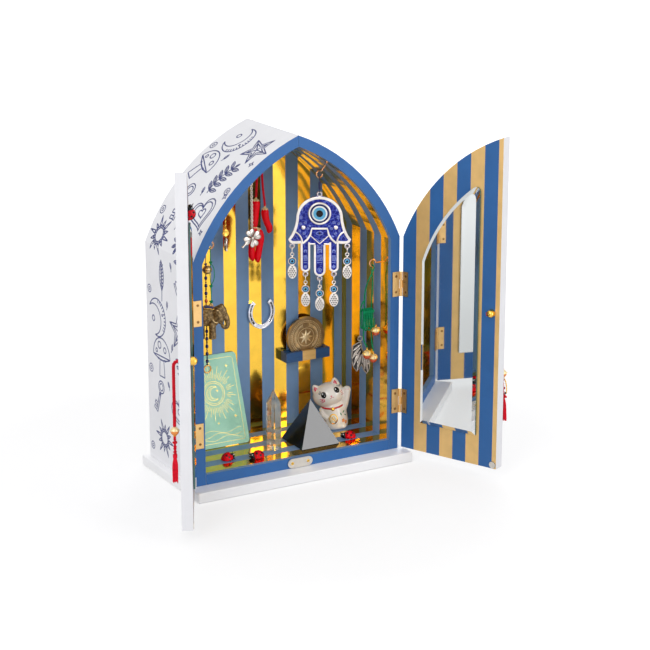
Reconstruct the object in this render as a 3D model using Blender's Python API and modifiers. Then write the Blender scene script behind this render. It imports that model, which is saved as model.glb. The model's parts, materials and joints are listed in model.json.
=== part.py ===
"""Miniature temple ornament: a pointed-arch cabinet of charms with two mirrored doors.

Metres, +Z up. The origin is the centre of the base board's bottom face, and the front faces -Y.
Places inside the cabinet are given across from its middle, back from its front face and up from
the top of the base board, and cabinet_point() turns them into the part's own frame.
"""
import math

import bmesh
import bpy
from mathutils import Matrix, Vector

MM = 0.001

# Cabinet
BODY_WIDTH = 235 * MM
BODY_DEPTH = 109 * MM
SPRING_HEIGHT = 229 * MM
APEX_HEIGHT = 344.2 * MM
ARCH_BULGE = 16.9 * MM
WALL = 10.4 * MM
BACK_WALL = 10.4 * MM
FLOOR_HEIGHT = 11.2 * MM
BASE_HEIGHT = 10.5 * MM
BASE_SIDE = 7.1 * MM
BASE_FRONT = 18.8 * MM
BASE_BACK = 5.3 * MM
BASE_ROUND = 0.8 * MM
SEAT = 0.3 * MM
ARCH_STEPS = 14

# Doors
DOOR_THICK = 11 * MM
DOOR_LIFT = 1.8 * MM
DOOR_MEET = 0.4 * MM
DOOR_FACE_GAP = 2.4 * MM
LEFT_OPEN_DEG = 116.6
RIGHT_OPEN_DEG = 113.6
MIRROR_HINGE_EDGE = 25 * MM
MIRROR_FREE_EDGE = 25 * MM
MIRROR_BOTTOM = 34 * MM
MIRROR_ARCH_INSET = 31 * MM
MIRROR_THICK = 3 * MM
MIRROR_BEVEL = 3.6 * MM
MIRROR_BEVEL_DROP = 1.2 * MM
MIRROR_CORNER = 9 * MM

# Butt hinges
PIN_OUT = 1.4 * MM
PIN_RADIUS = 0.65 * MM
PIN_CLEAR = 0.2 * MM
KNUCKLE_RADIUS = 1.5 * MM
KNUCKLE_CLEAR = 0.4 * MM
FRAME_LEAF_WIDTH = 8.4 * MM
DOOR_LEAF_WIDTH = 6.8 * MM
LEAF_HEIGHT = 26 * MM
LEAF_THICK = 0.75 * MM
HINGE_LOW = 53 * MM
HINGE_HIGH = 179 * MM

# Catch
CATCH_LENGTH = 28.6 * MM
CATCH_HEIGHT = 10 * MM
CATCH_THICK = 1 * MM
MAGNET_RADIUS = 3.6 * MM
MAGNET_THICK = 3 * MM
MAGNET_PROUD = 0.6 * MM
MAGNET_IN = 4.2 * MM

# Tassel and its stud
STUD_HEIGHT = 165.7 * MM
STUD_IN = 9.3 * MM
STUD_RADIUS = 2 * MM
STUD_CLEAR = 0.3 * MM
STUD_DOME_RADIUS = 4.1 * MM
STUD_DOME_HEIGHT = 6.6 * MM
TASSEL_CORD_RADIUS = 1.4 * MM
TASSEL_CORD_DROP = 62 * MM
TASSEL_BEAD_RADIUS = 4.2 * MM
TASSEL_SKIRT_RADIUS = 2.1 * MM
TASSEL_LENGTH = 54 * MM

# Screw hooks
HOOK_WIRE = 0.8 * MM
HOOK_RING = 3.6 * MM
HOOK_SHANK = 7.5 * MM
HOOK_SWEEP_DEG = 300
HAMSA_HOOK_X = 48 * MM
HAMSA_HOOK_Y = 31 * MM
LEFT_HOOK_IN = 9.1 * MM
LEFT_HOOK_Y = 20 * MM
RIGHT_HOOK_SHANK = 6 * MM
RIGHT_HOOK_Y = 20 * MM
RIGHT_HOOK_Z = 199 * MM

# Hamsa
HAMSA_TURN_DEG = -30
HAMSA_DROP = 17.2 * MM
HAMSA_THICK = 1.8 * MM
HAMSA_CORD_RADIUS = 0.9 * MM
HAMSA_DOME_WIDTH = 47 * MM
HAMSA_DOME_HEIGHT = 22 * MM
HAMSA_WING_REACH = 32.4 * MM
HAMSA_WING_DROP = 45 * MM
HAMSA_FINGER_AT = 14.5 * MM
HAMSA_FINGER_HALF = 4.9 * MM
HAMSA_FINGER_END = 78.6 * MM
HAMSA_MIDDLE_HALF = 5.9 * MM
HAMSA_MIDDLE_END = 83.1 * MM
HAMSA_SLOT_TOP = 50 * MM
EYE_RADIUS = 2.7 * MM
EYE_HOLE = 1.6 * MM
EYE_OVERLAP = 0.4 * MM

# Dangles
LINK_INNER = 2.6 * MM
LINK_WIRE = 0.45 * MM
LINK_HANG = 1.45 * MM
DANGLE_EYE_AT = 6.65 * MM
DANGLE_EYE_RADIUS = 2.2 * MM
DANGLE_EYE_HOLE = 1.1 * MM
DANGLE_BEAD_AT = 13.75 * MM
DANGLE_BEAD_RADIUS = 4.2 * MM
DANGLE_HAND_AT = 24.95 * MM
DANGLE_HAND_WIDTH = 9.4 * MM
DANGLE_HAND_HEIGHT = 14.4 * MM
DANGLE_NECK = 0.9 * MM
DANGLE_THICK = 2 * MM

# Chili bundle and small charm
CHILI_X = -11 * MM
CHILI_Y = 60 * MM
CHILI_CORD_RADIUS = 0.9 * MM
CHILI_RADIUS = 3.7 * MM
CHILI_DROP = 124 * MM
CLOVER_X = -22.5 * MM
CLOVER_DROP = 96.2 * MM
CLOVER_RADIUS = 9.5 * MM
CLOVER_THICK = 1.8 * MM
CLOVER_FRONT = 5.6 * MM
CLOVER_SHARE = 0.5
CHAIN_RADIUS = 0.8 * MM
SMALL_CHARM_X = -50.9 * MM
SMALL_CHARM_Y = 60 * MM
SMALL_CHARM_DISC = 3.4 * MM
SMALL_CHARM_DROP = 82 * MM

# Elephant and bead string
ELEPHANT_TURN_DEG = -28
ELEPHANT_CORD_RADIUS = 0.7 * MM
ELEPHANT_CORD_DROP = 53.6 * MM
ELEPHANT_LENGTH = 34 * MM
ELEPHANT_HEIGHT = 38 * MM
ELEPHANT_EYE_SHARE = -0.11
ELEPHANT_EYE = 1.4 * MM
ELEPHANT_EYE_WIRE = 0.8 * MM
BEAD_STRING_IN = 20.1 * MM
BEAD_STRING_Y = 33.5 * MM
BEAD_STRING_BELL_AT = 44 * MM
BEAD_STRING_LENGTH = 150 * MM
BEAD_RADIUS = 1.5 * MM
BEAD_COUNT = 12
RING_CHARM_RADIUS = 3.8 * MM
RING_CHARM_WIRE = 0.9 * MM

# Bells and filigree charm on the right hook
BELL_CORD_RADIUS = 0.75 * MM
BELL_CORD_BEHIND = 3 * MM
BELL_FRONT = 3 * MM
BELL_RADIUS = 4.7 * MM
BELL_HEIGHT = 12 * MM
HANK_TURNS = 6
HANK_PITCH = 1.95 * MM
HANK_TUBE = 0.7 * MM
HANK_HALF_HEIGHT = 11 * MM
HANK_HALF_DEPTH = 3 * MM
HANK_POINTS = 24
FILIGREE_THICK = 1.6 * MM
FILIGREE_RING = 3.2 * MM
FILIGREE_DROP = 39 * MM

# Pieces on the back wall
HORSESHOE_X = 8 * MM
HORSESHOE_Z = 140.3 * MM
HORSESHOE_HALF_WIDTH = 13.2 * MM
HORSESHOE_HALF_HEIGHT = 15.6 * MM
HORSESHOE_BAND = 4.8 * MM
HORSESHOE_GAP_DEG = 42
HORSESHOE_THICK = 2.6 * MM
HORSESHOE_NAIL = 0.7 * MM
SHELF_X = 58.4 * MM
SHELF_Z = 83 * MM
SHELF_LENGTH = 52.5 * MM
SHELF_HEIGHT = 10.6 * MM
SHELF_DEPTH = 12 * MM
SHELF_SLOT_DEPTH = 9 * MM
COIN_RADIUS = 22.3 * MM
COIN_THICK = 3.2 * MM
COIN_RIM = 3 * MM
COIN_SUNK = 0.4 * MM
COIN_CLEAR = 0.3 * MM

# Pieces on the floor
CARD_WIDTH = 64 * MM
CARD_HEIGHT = 96 * MM
CARD_THICK = 0.6 * MM
CARD_CORNER = 4 * MM
CARD_IN = 19.9 * MM
CARD_FOOT_Y = 65.4 * MM
CRYSTAL_X = -11.2 * MM
CRYSTAL_Y = 35.4 * MM
CRYSTAL_RADIUS = 8.6 * MM
CRYSTAL_HEIGHT = 64.5 * MM
CRYSTAL_POINT = 15 * MM
PYRAMID_X = 33.6 * MM
PYRAMID_Y = 38 * MM
PYRAMID_SIDE = 44.6 * MM
PYRAMID_HEIGHT = 45.6 * MM
CAT_IN = 28.5 * MM
CAT_Y = 68.5 * MM
CAT_TURN_DEG = -26
CAT_RADIUS = 16.3 * MM
CAT_BODY_HEIGHT = 26 * MM
CAT_HEAD_WIDTH = 34.5 * MM
CAT_HEAD_HEIGHT = 26 * MM
CAT_HEAD_DEPTH = 27 * MM
CAT_HEAD_ASIDE = 4.8 * MM
CAT_HEAD_UP = 35.5 * MM
CAT_HEAD_TILT_DEG = 20
CAT_EAR_RADIUS = 5.2 * MM
CAT_EAR_HEIGHT = 6.4 * MM
CAT_PAW_RADIUS = 3.5 * MM
CAT_PAW_ASIDE = 14.4 * MM
CAT_PAW_UP = 41 * MM
LADYBIRD_LENGTH = 14 * MM
LADYBIRD_WIDTH = 11.5 * MM
LADYBIRD_HEIGHT = 8 * MM
LADYBIRD_PLACES = ((73.7 * MM, 26.2 * MM, 150), (-68 * MM, 29 * MM, 20), (-38.8 * MM, 19 * MM, 165))

HALF_WIDTH = BODY_WIDTH / 2
INNER_HALF = HALF_WIDTH - WALL
LEFT_HOOK_X = LEFT_HOOK_IN - INNER_HALF
BEAD_STRING_X = BEAD_STRING_IN - INNER_HALF
CARD_X = CARD_IN - INNER_HALF + CARD_WIDTH / 2
CAT_X = INNER_HALF - CAT_IN
BACK_FACE = BODY_DEPTH - BACK_WALL
FRONT_Y = BASE_FRONT - (BASE_FRONT + BODY_DEPTH + BASE_BACK) / 2
ARCH_RISE = APEX_HEIGHT - SPRING_HEIGHT
ARCH_CHORD = math.hypot(HALF_WIDTH, ARCH_RISE)
ARCH_RADIUS = (ARCH_CHORD ** 2 / 4 + ARCH_BULGE ** 2) / (2 * ARCH_BULGE)
ARCH_X = HALF_WIDTH / 2 - (ARCH_RADIUS - ARCH_BULGE) * ARCH_RISE / ARCH_CHORD
ARCH_Z = SPRING_HEIGHT + ARCH_RISE / 2 - (ARCH_RADIUS - ARCH_BULGE) * HALF_WIDTH / ARCH_CHORD
PIN_X = HALF_WIDTH + PIN_OUT
PIN_Y = -DOOR_FACE_GAP / 2
CATCH_UP = SEAT + (FLOOR_HEIGHT - SEAT) / 2
UPRIGHT = Matrix.Rotation(math.radians(90), 4, "X")


# Scene and materials
for leftover in list(bpy.data.objects):
    bpy.data.objects.remove(leftover, do_unlink=True)

parts = bpy.data.collections.new("temple_ornament")
cutters = bpy.data.collections.new("cutters")
bpy.context.scene.collection.children.link(parts)
bpy.context.scene.collection.children.link(cutters)


def material(name, colour, roughness, metallic=0.0):
    """A plain material with one colour."""
    made = bpy.data.materials.new(name)
    made.use_nodes = True
    shader = made.node_tree.nodes["Principled BSDF"]
    shader.inputs["Base Color"].default_value = (*colour, 1.0)
    shader.inputs["Roughness"].default_value = roughness
    shader.inputs["Metallic"].default_value = metallic
    return made


WHITE_PAINT = material("white_paint", (0.86, 0.86, 0.87), 0.5)
BLUE_PAINT = material("blue_paint", (0.04, 0.13, 0.36), 0.45)
GOLD_FOIL = material("gold_foil", (0.85, 0.58, 0.10), 0.15, 1.0)
MIRROR_GLASS = material("mirror_glass", (0.85, 0.88, 0.88), 0.03, 1.0)
BRASS = material("brass", (0.72, 0.50, 0.22), 0.3, 1.0)
SILVER = material("silver", (0.70, 0.69, 0.66), 0.28, 1.0)
NICKEL = material("nickel", (0.78, 0.77, 0.74), 0.35, 1.0)
BRONZE = material("bronze", (0.24, 0.17, 0.09), 0.5, 0.8)
COBALT = material("cobalt_enamel", (0.02, 0.06, 0.45), 0.2)
RED_CORD = material("red_cord", (0.60, 0.01, 0.03), 0.7)
RED_GLOSS = material("red_gloss", (0.65, 0.01, 0.01), 0.12)
GREEN_CORD = material("green_cord", (0.00, 0.22, 0.10), 0.7)
NAVY_CORD = material("navy_cord", (0.01, 0.015, 0.07), 0.6)
MINT_CARD = material("mint_card", (0.30, 0.60, 0.46), 0.6)
CLEAR_QUARTZ = material("clear_quartz", (0.90, 0.88, 0.84), 0.05)
BLACK_STONE = material("black_stone", (0.01, 0.01, 0.012), 0.08)
WHITE_GLAZE = material("white_glaze", (0.80, 0.77, 0.71), 0.15)


# Shapes
def link(name, data, surface, collection=parts):
    """Puts new object data in the scene with its material."""
    made = bpy.data.objects.new(name, data)
    collection.objects.link(made)
    data.materials.append(surface)
    return made


def mesh_object(name, builder, surface, collection=parts):
    """An object from a bmesh, shaded smooth up to its sharp edges."""
    mesh = bpy.data.meshes.new(name)
    builder.to_mesh(mesh)
    builder.free()
    mesh.shade_smooth()
    mesh.set_sharp_from_angle(angle=math.radians(40))
    return link(name, mesh, surface, collection)


def box(name, low, high, surface, collection=parts):
    """A box between two corners."""
    low = Vector(low)
    high = Vector(high)
    builder = bmesh.new()
    bmesh.ops.create_cube(builder, size=1.0)
    bmesh.ops.scale(builder, vec=high - low, verts=builder.verts)
    bmesh.ops.translate(builder, vec=(low + high) / 2, verts=builder.verts)
    return mesh_object(name, builder, surface, collection)


def ball(name, radii, centre, surface, segments=14, rings=10, turn=None):
    """An ellipsoid with its half axes, turned by a matrix and moved to its centre."""
    builder = bmesh.new()
    bmesh.ops.create_uvsphere(builder, u_segments=segments, v_segments=rings, radius=1.0)
    bmesh.ops.scale(builder, vec=Vector(radii), verts=builder.verts)
    if turn is not None:
        bmesh.ops.transform(builder, matrix=turn, verts=builder.verts)
    bmesh.ops.translate(builder, vec=Vector(centre), verts=builder.verts)
    return mesh_object(name, builder, surface)


def plate(name, outline, thickness, surface, holes=()):
    """A flat outline in local X and Y, thickened evenly to both sides along local Z."""
    curve = bpy.data.curves.new(name, "CURVE")
    curve.dimensions = "2D"
    curve.fill_mode = "BOTH"
    curve.extrude = thickness / 2
    for loop in (outline, *holes):
        spline = curve.splines.new("POLY")
        spline.points.add(len(loop) - 1)
        for point, (across, up) in zip(spline.points, loop):
            point.co = (across, up, 0.0, 1.0)
        spline.use_cyclic_u = True
    return link(name, curve, surface)


def tube(name, route, radius, surface, detail=2, shares=None, closed=False):
    """A round tube along a route, with a share of the radius at each point if it tapers."""
    curve = bpy.data.curves.new(name, "CURVE")
    curve.dimensions = "3D"
    curve.bevel_depth = radius
    curve.bevel_resolution = detail
    curve.use_fill_caps = not closed
    spline = curve.splines.new("POLY")
    spline.points.add(len(route) - 1)
    for index, place in enumerate(route):
        spline.points[index].co = (*place, 1.0)
        if shares is not None:
            spline.points[index].radius = shares[index]
    spline.use_cyclic_u = closed
    return link(name, curve, surface)


def disc_profile(radius, height):
    """The profile of a disc that stands on local Z = 0."""
    return [(0, height), (radius, height), (radius, 0), (0, 0)]


def turned(name, profile, surface, steps=14, closed=False, collection=parts):
    """A profile of radius and height, listed top to bottom, turned about local Z."""
    mesh = bpy.data.meshes.new(name)
    edges = [(index, index + 1) for index in range(len(profile) - 1)]
    if closed:
        edges.append((len(profile) - 1, 0))
    mesh.from_pydata([(radius, 0.0, height) for radius, height in profile], edges, [])
    made = link(name, mesh, surface, collection)
    screw = made.modifiers.new("turn", "SCREW")
    screw.axis = "Z"
    screw.angle = math.radians(360)
    screw.steps = steps
    screw.render_steps = steps
    screw.use_merge_vertices = True
    screw.merge_threshold = 0.00001
    screw.use_smooth_shade = True
    return made


def as_mesh(made):
    """Replaces an object by the mesh that its curve or its modifiers give, in place."""
    bpy.context.view_layer.update()
    depsgraph = bpy.context.evaluated_depsgraph_get()
    mesh = bpy.data.meshes.new_from_object(made.evaluated_get(depsgraph))
    mesh.transform(made.matrix_world)
    builder = bmesh.new()
    builder.from_mesh(mesh)
    bmesh.ops.remove_doubles(builder, verts=builder.verts, dist=0.000002)
    bmesh.ops.recalc_face_normals(builder, faces=builder.faces)
    builder.to_mesh(mesh)
    builder.free()
    name = made.name
    made.name = name + "_draft"
    solid = bpy.data.objects.new(name, mesh)
    parts.objects.link(solid)
    bpy.data.objects.remove(made, do_unlink=True)
    mesh.shade_smooth()
    mesh.set_sharp_from_angle(angle=math.radians(40))
    return solid


def joined(first, *others):
    """Fuses the shapes of one piece into one solid."""
    solid = as_mesh(first)
    for other in others:
        operand = as_mesh(other)
        union = solid.modifiers.new("join", "BOOLEAN")
        union.operation = "UNION"
        union.solver = "EXACT"
        union.object = operand
        solid = as_mesh(solid)
        bpy.data.objects.remove(operand, do_unlink=True)
    return solid


def cut(solid, cutter):
    """Cuts a solid with a cutter that stays in the cutters' collection."""
    cutter.hide_render = True
    cutter.display_type = "WIRE"
    groove = solid.modifiers.new("cut", "BOOLEAN")
    groove.operation = "DIFFERENCE"
    groove.solver = "EXACT"
    groove.object = cutter


def pivot(name, place, turn_deg=0.0, parent=None):
    """An empty on a joint's axis, turned about the vertical."""
    empty = bpy.data.objects.new(name, None)
    empty.empty_display_size = 0.01
    empty.location = place
    empty.rotation_euler = (0.0, 0.0, math.radians(turn_deg))
    empty.parent = parent
    parts.objects.link(empty)
    return empty


def put(made, place, turn=None, parent=None):
    """Places an object, in its parent's frame if it has one."""
    made.matrix_world = Matrix.Translation(Vector(place)) @ (turn or Matrix.Identity(4))
    made.parent = parent
    return made


# Outlines
def cabinet_point(across, back, up):
    """A place given across from the middle, back from the front face and up from the base."""
    return Vector((across, FRONT_Y + back, BASE_HEIGHT + up))


def arc(centre, radius, start_deg, end_deg, steps):
    """Points along an arc, both ends included."""
    points = []
    for step in range(steps + 1):
        angle = math.radians(start_deg + (end_deg - start_deg) * step / steps)
        points.append((centre[0] + radius * math.cos(angle), centre[1] + radius * math.sin(angle)))
    return points


def bend(start, control, end, steps):
    """Points of a curve from start to end that is drawn towards a control point."""
    points = []
    for step in range(steps + 1):
        share = step / steps
        weights = ((1 - share) ** 2, 2 * share * (1 - share), share ** 2)
        points.append(tuple(sum(weight * place[axis] for weight, place in
                                zip(weights, (start, control, end))) for axis in range(len(start))))
    return points


def smooth_route(places, spacing):
    """Evenly spaced points on a smooth curve through the given places."""
    places = [Vector(place) for place in places]
    ends = [places[0] * 2 - places[1], *places, places[-1] * 2 - places[-2]]
    route = [places[0]]
    for index in range(1, len(ends) - 2):
        before, first, last, after = ends[index - 1:index + 3]
        steps = max(1, round((last - first).length / spacing))
        for step in range(1, steps + 1):
            share = step / steps
            route.append(0.5 * (2 * first + (last - before) * share
                                + (2 * before - 5 * first + 4 * last - after) * share ** 2
                                + (3 * first - before - 3 * last + after) * share ** 3))
    return route


def arch_height(across, inset=0.0):
    """Height of the arch line at a distance from the middle, drawn in by an inset."""
    return ARCH_Z + math.sqrt((ARCH_RADIUS - inset) ** 2 - (abs(across) - ARCH_X) ** 2)


def arch_points(outer, inner, inset, steps=ARCH_STEPS):
    """The right half of the arch line, from its outer end up to its inner end."""
    radius = ARCH_RADIUS - inset
    start = math.degrees(math.acos((outer - ARCH_X) / radius))
    end = math.degrees(math.acos((inner - ARCH_X) / radius))
    return arc((ARCH_X, ARCH_Z), radius, start, end, steps)


def mirrored(points):
    """The same points on the other side of the middle, listed the other way round."""
    return [(-across, up) for across, up in reversed(points)]


def both_halves(half):
    """A closed outline from its right half, which starts and ends on the middle line."""
    return half + mirrored(half[1:-1])


def vault_inward(across):
    """The direction out of the vault's inner face, across and up."""
    side = math.copysign(1.0, across)
    normal = Vector((side * ARCH_X - across, 0.0, ARCH_Z - arch_height(across, WALL)))
    return normal.normalized()


# Cabinet
def base_board():
    half = HALF_WIDTH + BASE_SIDE
    low = Vector((-half, FRONT_Y - BASE_FRONT, 0.0))
    high = Vector((half, FRONT_Y + BODY_DEPTH + BASE_BACK, BASE_HEIGHT))
    board = box("base_board", low, high, WHITE_PAINT)
    bevel = board.modifiers.new("round", "BEVEL")
    bevel.width = BASE_ROUND
    bevel.segments = 1


def shell_half(name, side):
    outer = [(HALF_WIDTH, SEAT)] + arch_points(HALF_WIDTH, SEAT / 2, 0.0)
    inner = [(INNER_HALF, SEAT)] + arch_points(INNER_HALF, SEAT / 2, WALL)
    outline = [(side * across, up) for across, up in outer + inner[::-1]]
    half = plate(name, outline, BODY_DEPTH, WHITE_PAINT)
    put(half, cabinet_point(0, BODY_DEPTH / 2, 0), UPRIGHT)


def back_panel():
    inset = WALL + SEAT
    half = [(0, SEAT), (HALF_WIDTH - inset, SEAT)] + arch_points(HALF_WIDTH - inset, 0.0, inset)
    panel = plate("back_panel", both_halves(half), BACK_WALL, GOLD_FOIL)
    put(panel, cabinet_point(0, BODY_DEPTH - BACK_WALL / 2, 0), UPRIGHT)


def floor_panel():
    low = cabinet_point(-INNER_HALF + SEAT, 0, SEAT)
    high = cabinet_point(INNER_HALF - SEAT, BACK_FACE - SEAT, FLOOR_HEIGHT)
    box("floor_panel", low, high, BLUE_PAINT)


def catch_plate():
    end = CATCH_HEIGHT / 2
    middle = CATCH_LENGTH / 2 - end
    outline = arc((middle, 0), end, -90, 90, 8) + arc((-middle, 0), end, 90, 270, 8)
    made = plate("catch_plate", outline, CATCH_THICK, NICKEL)
    put(made, cabinet_point(0, -SEAT - CATCH_THICK / 2, CATCH_UP), UPRIGHT)


# Doors: each door's pieces are placed as on the closed door, from the hinge pin
def from_pin(side, across, back, up):
    """A place on a closed door, from its hinge pin."""
    return Vector((side * (across - PIN_X), back - PIN_Y, up))


def door_panel(name, side, hinge):
    half = [(DOOR_MEET, DOOR_LIFT), (HALF_WIDTH, DOOR_LIFT)] + arch_points(HALF_WIDTH, DOOR_MEET, 0.0)
    outline = [(side * across, up) for across, up in half]
    bore = arc((side * STUD_IN, STUD_HEIGHT), STUD_RADIUS + STUD_CLEAR, 0, 330, 11)
    panel = plate(name, outline, DOOR_THICK, BLUE_PAINT, holes=[bore])
    place = from_pin(side, 0, -DOOR_FACE_GAP - DOOR_THICK / 2, 0)
    put(panel, place, UPRIGHT)
    panel = as_mesh(panel)
    panel.parent = hinge
    deep = MAGNET_THICK - MAGNET_PROUD + SEAT
    profile = disc_profile(MAGNET_RADIUS + SEAT, deep + DOOR_FACE_GAP)
    pocket = turned(name + "_pocket", profile, BLUE_PAINT, steps=16, collection=cutters)
    place = from_pin(side, DOOR_MEET + MAGNET_IN, -DOOR_FACE_GAP - deep, CATCH_UP)
    put(pocket, place, UPRIGHT.inverted(), hinge)
    cut(panel, pocket)


def mirror_outline(side, inset):
    """The mirror's outline, drawn in by an inset."""
    outer = HALF_WIDTH - MIRROR_HINGE_EDGE - inset
    inner = MIRROR_FREE_EDGE + inset
    drawn_in = MIRROR_ARCH_INSET + inset
    curve = arch_points(outer, inner + MIRROR_CORNER, drawn_in)
    peak = (inner, arch_height(inner, drawn_in))
    corner = bend(curve[-1], peak, (inner, peak[1] - 1.4 * MIRROR_CORNER), 6)
    outline = [(inner, MIRROR_BOTTOM + inset), (outer, MIRROR_BOTTOM + inset)] + curve + corner[1:]
    return [(side * across, up) for across, up in outline]


def door_mirror(name, side, hinge):
    """A pane with a bevelled edge: its back, the start of its bevel and its face, as three loops."""
    edge = mirror_outline(side, 0.0)
    face = mirror_outline(side, MIRROR_BEVEL)
    shoulder = MIRROR_THICK - MIRROR_BEVEL_DROP
    builder = bmesh.new()
    loops = []
    for outline, back in ((edge, 0.0), (edge, shoulder), (face, MIRROR_THICK)):
        loops.append([builder.verts.new((across, back, up)) for across, up in outline])
    builder.faces.new(loops[0])
    builder.faces.new(loops[2])
    for lower, upper in zip(loops, loops[1:]):
        for index in range(len(edge)):
            after = (index + 1) % len(edge)
            builder.faces.new((lower[index], lower[after], upper[after], upper[index]))
    bmesh.ops.recalc_face_normals(builder, faces=builder.faces)
    pane = mesh_object(name, builder, MIRROR_GLASS)
    put(pane, from_pin(side, 0, -DOOR_FACE_GAP + SEAT, 0), parent=hinge)


def magnet(name, side, hinge):
    disc = turned(name, disc_profile(MAGNET_RADIUS, MAGNET_THICK), NICKEL, steps=16)
    back = -DOOR_FACE_GAP - MAGNET_THICK + MAGNET_PROUD
    put(disc, from_pin(side, DOOR_MEET + MAGNET_IN, back, CATCH_UP), UPRIGHT.inverted(), hinge)


def stud(name, side, hinge):
    """A brass dome inside the door, with its shank through the door to the outer face."""
    dome = arc((0, 0), 1.0, 90, 20, 5)
    neck = STUD_DOME_HEIGHT * 0.45
    profile = [(STUD_DOME_RADIUS * across, neck + (STUD_DOME_HEIGHT - neck) * up) for across, up in dome]
    profile[0] = (0, STUD_DOME_HEIGHT)
    profile += [(STUD_DOME_RADIUS, SEAT), (STUD_RADIUS, SEAT), (STUD_RADIUS, -DOOR_THICK), (0, -DOOR_THICK)]
    made = turned(name, profile, BRASS, steps=12)
    put(made, from_pin(side, STUD_IN, -DOOR_FACE_GAP, STUD_HEIGHT), UPRIGHT.inverted(), hinge)


def hinge_pair(name, side, up, hinge):
    """A frame leaf that carries the pin, and a door leaf that turns on it."""
    half = LEAF_HEIGHT / 2
    third = LEAF_HEIGHT / 6
    play = KNUCKLE_CLEAR / 2
    root = HALF_WIDTH - FRAME_LEAF_WIDTH
    notch = PIN_X - KNUCKLE_RADIUS - KNUCKLE_CLEAR

    right = [(root, -half), (PIN_X, -half), (PIN_X, -third - play), (notch, -third - play),
             (notch, third + play), (PIN_X, third + play), (PIN_X, half), (root, half)]
    leaf = plate(name + "_frame_leaf", [(side * across, high) for across, high in right], LEAF_THICK, BRASS)
    put(leaf, cabinet_point(0, -SEAT - LEAF_THICK / 2, up), UPRIGHT)
    knuckle = KNUCKLE_RADIUS
    profile = [(0, half), (knuckle, half), (knuckle, third + play), (PIN_RADIUS, third + play),
               (PIN_RADIUS, -third - play), (knuckle, -third - play), (knuckle, -half), (0, -half)]
    barrel = turned(name + "_barrel", profile, BRASS, steps=12)
    put(barrel, cabinet_point(side * PIN_X, PIN_Y, up))
    joined(leaf, barrel)

    reach = PIN_X - PIN_RADIUS - PIN_CLEAR - (KNUCKLE_RADIUS - PIN_RADIUS) / 4
    tab = third - play
    root = HALF_WIDTH - DOOR_LEAF_WIDTH
    right = [(root, -half), (notch, -half), (notch, -tab), (reach, -tab), (reach, tab),
             (notch, tab), (notch, half), (root, half)]
    leaf = plate(name + "_door_leaf", [(side * (across - PIN_X), high) for across, high in right],
                 LEAF_THICK, BRASS)
    put(leaf, (0, -DOOR_FACE_GAP + SEAT + LEAF_THICK / 2 - PIN_Y, up), UPRIGHT)
    bore = PIN_RADIUS + PIN_CLEAR
    sleeve = turned(name + "_sleeve", [(knuckle, tab), (knuckle, -tab), (bore, -tab), (bore, tab)],
                    BRASS, steps=12, closed=True)
    put(sleeve, (0, 0, up))
    joined(leaf, sleeve).parent = hinge


def door_tassel(label, side, hinge):
    """A red cord out of the stud, and the bell bead and tassel that hang on it."""
    outer = -DOOR_FACE_GAP - DOOR_THICK
    swing = pivot(label + "_tassel_swing", from_pin(side, STUD_IN, outer, STUD_HEIGHT), parent=hinge)
    lean = TASSEL_BEAD_RADIUS + SEAT
    turn = TASSEL_CORD_RADIUS * 1.35
    start = -SEAT - 1 * MM
    corner = [Vector((0, start - across, up)) for across, up in arc((0, -turn), turn, 90, 0, 4)]
    places = [corner[-1], (0, start - turn - 0.2 * MM, -TASSEL_CORD_DROP * 0.3),
              (0, -lean, -TASSEL_CORD_DROP * 0.7), (0, -lean - SEAT, -TASSEL_CORD_DROP)]
    route = [Vector((0, -SEAT, 0))] + corner[:-1] + smooth_route(places, 3.5 * MM)
    cord = tube(label + "_tassel_cord", route, TASSEL_CORD_RADIUS, RED_CORD)
    cord.parent = swing
    bead = TASSEL_BEAD_RADIUS
    knot = TASSEL_SKIRT_RADIUS
    waist = knot * 0.6
    profile = [(0, 0)] + [(bead * across, bead * (up - 1)) for across, up in arc((0, 0), 1, 70, -65, 6)]
    profile += [(waist, -bead * 2.1), (knot, -bead * 2.6), (waist, -bead * 3.1), (knot, -bead * 3.6),
                (waist, -bead * 4.2), (knot * 0.9, -bead * 4.7), (knot, -TASSEL_LENGTH), (0, -TASSEL_LENGTH)]
    tassel = turned(label + "_tassel", profile, RED_CORD, steps=12)
    put(tassel, (0, -lean - SEAT, -TASSEL_CORD_DROP - SEAT), parent=swing)


def door(label, side, open_deg):
    """One door with everything that turns on its hinges."""
    hinge = pivot(label + "_door_hinge", cabinet_point(side * PIN_X, PIN_Y, 0), side * open_deg)
    door_panel(label + "_door", side, hinge)
    door_mirror(label + "_mirror", side, hinge)
    magnet(label + "_magnet", side, hinge)
    stud(label + "_stud", side, hinge)
    hinge_pair(label + "_upper", side, HINGE_HIGH, hinge)
    hinge_pair(label + "_lower", side, HINGE_LOW, hinge)
    door_tassel(label, side, hinge)


# Hooks
def screw_hook(name, root, inward, shank=HOOK_SHANK):
    """A wire hook that stands on a wall; gives the middle of the wire at the ring's lowest point."""
    centre = root + inward * (shank + HOOK_RING)
    start = math.degrees(math.atan2(-inward.z, -inward.x))
    ring = arc((centre.x, centre.z), HOOK_RING, start, start + HOOK_SWEEP_DEG, 14)
    route = [root + inward * SEAT, root + inward * shank / 2]
    route += [Vector((across, centre.y, up)) for across, up in ring]
    tube(name, route, HOOK_WIRE, BRASS, detail=1)
    return centre - Vector((0, 0, HOOK_RING))


# Hamsa
def eye(centre, start_deg, end_deg):
    """The outer edge of a small hanging eye."""
    return arc(centre, EYE_RADIUS, start_deg, end_deg, 6)


def eye_hole(centre):
    return arc(centre, EYE_HOLE, 0, 315, 7)


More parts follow.
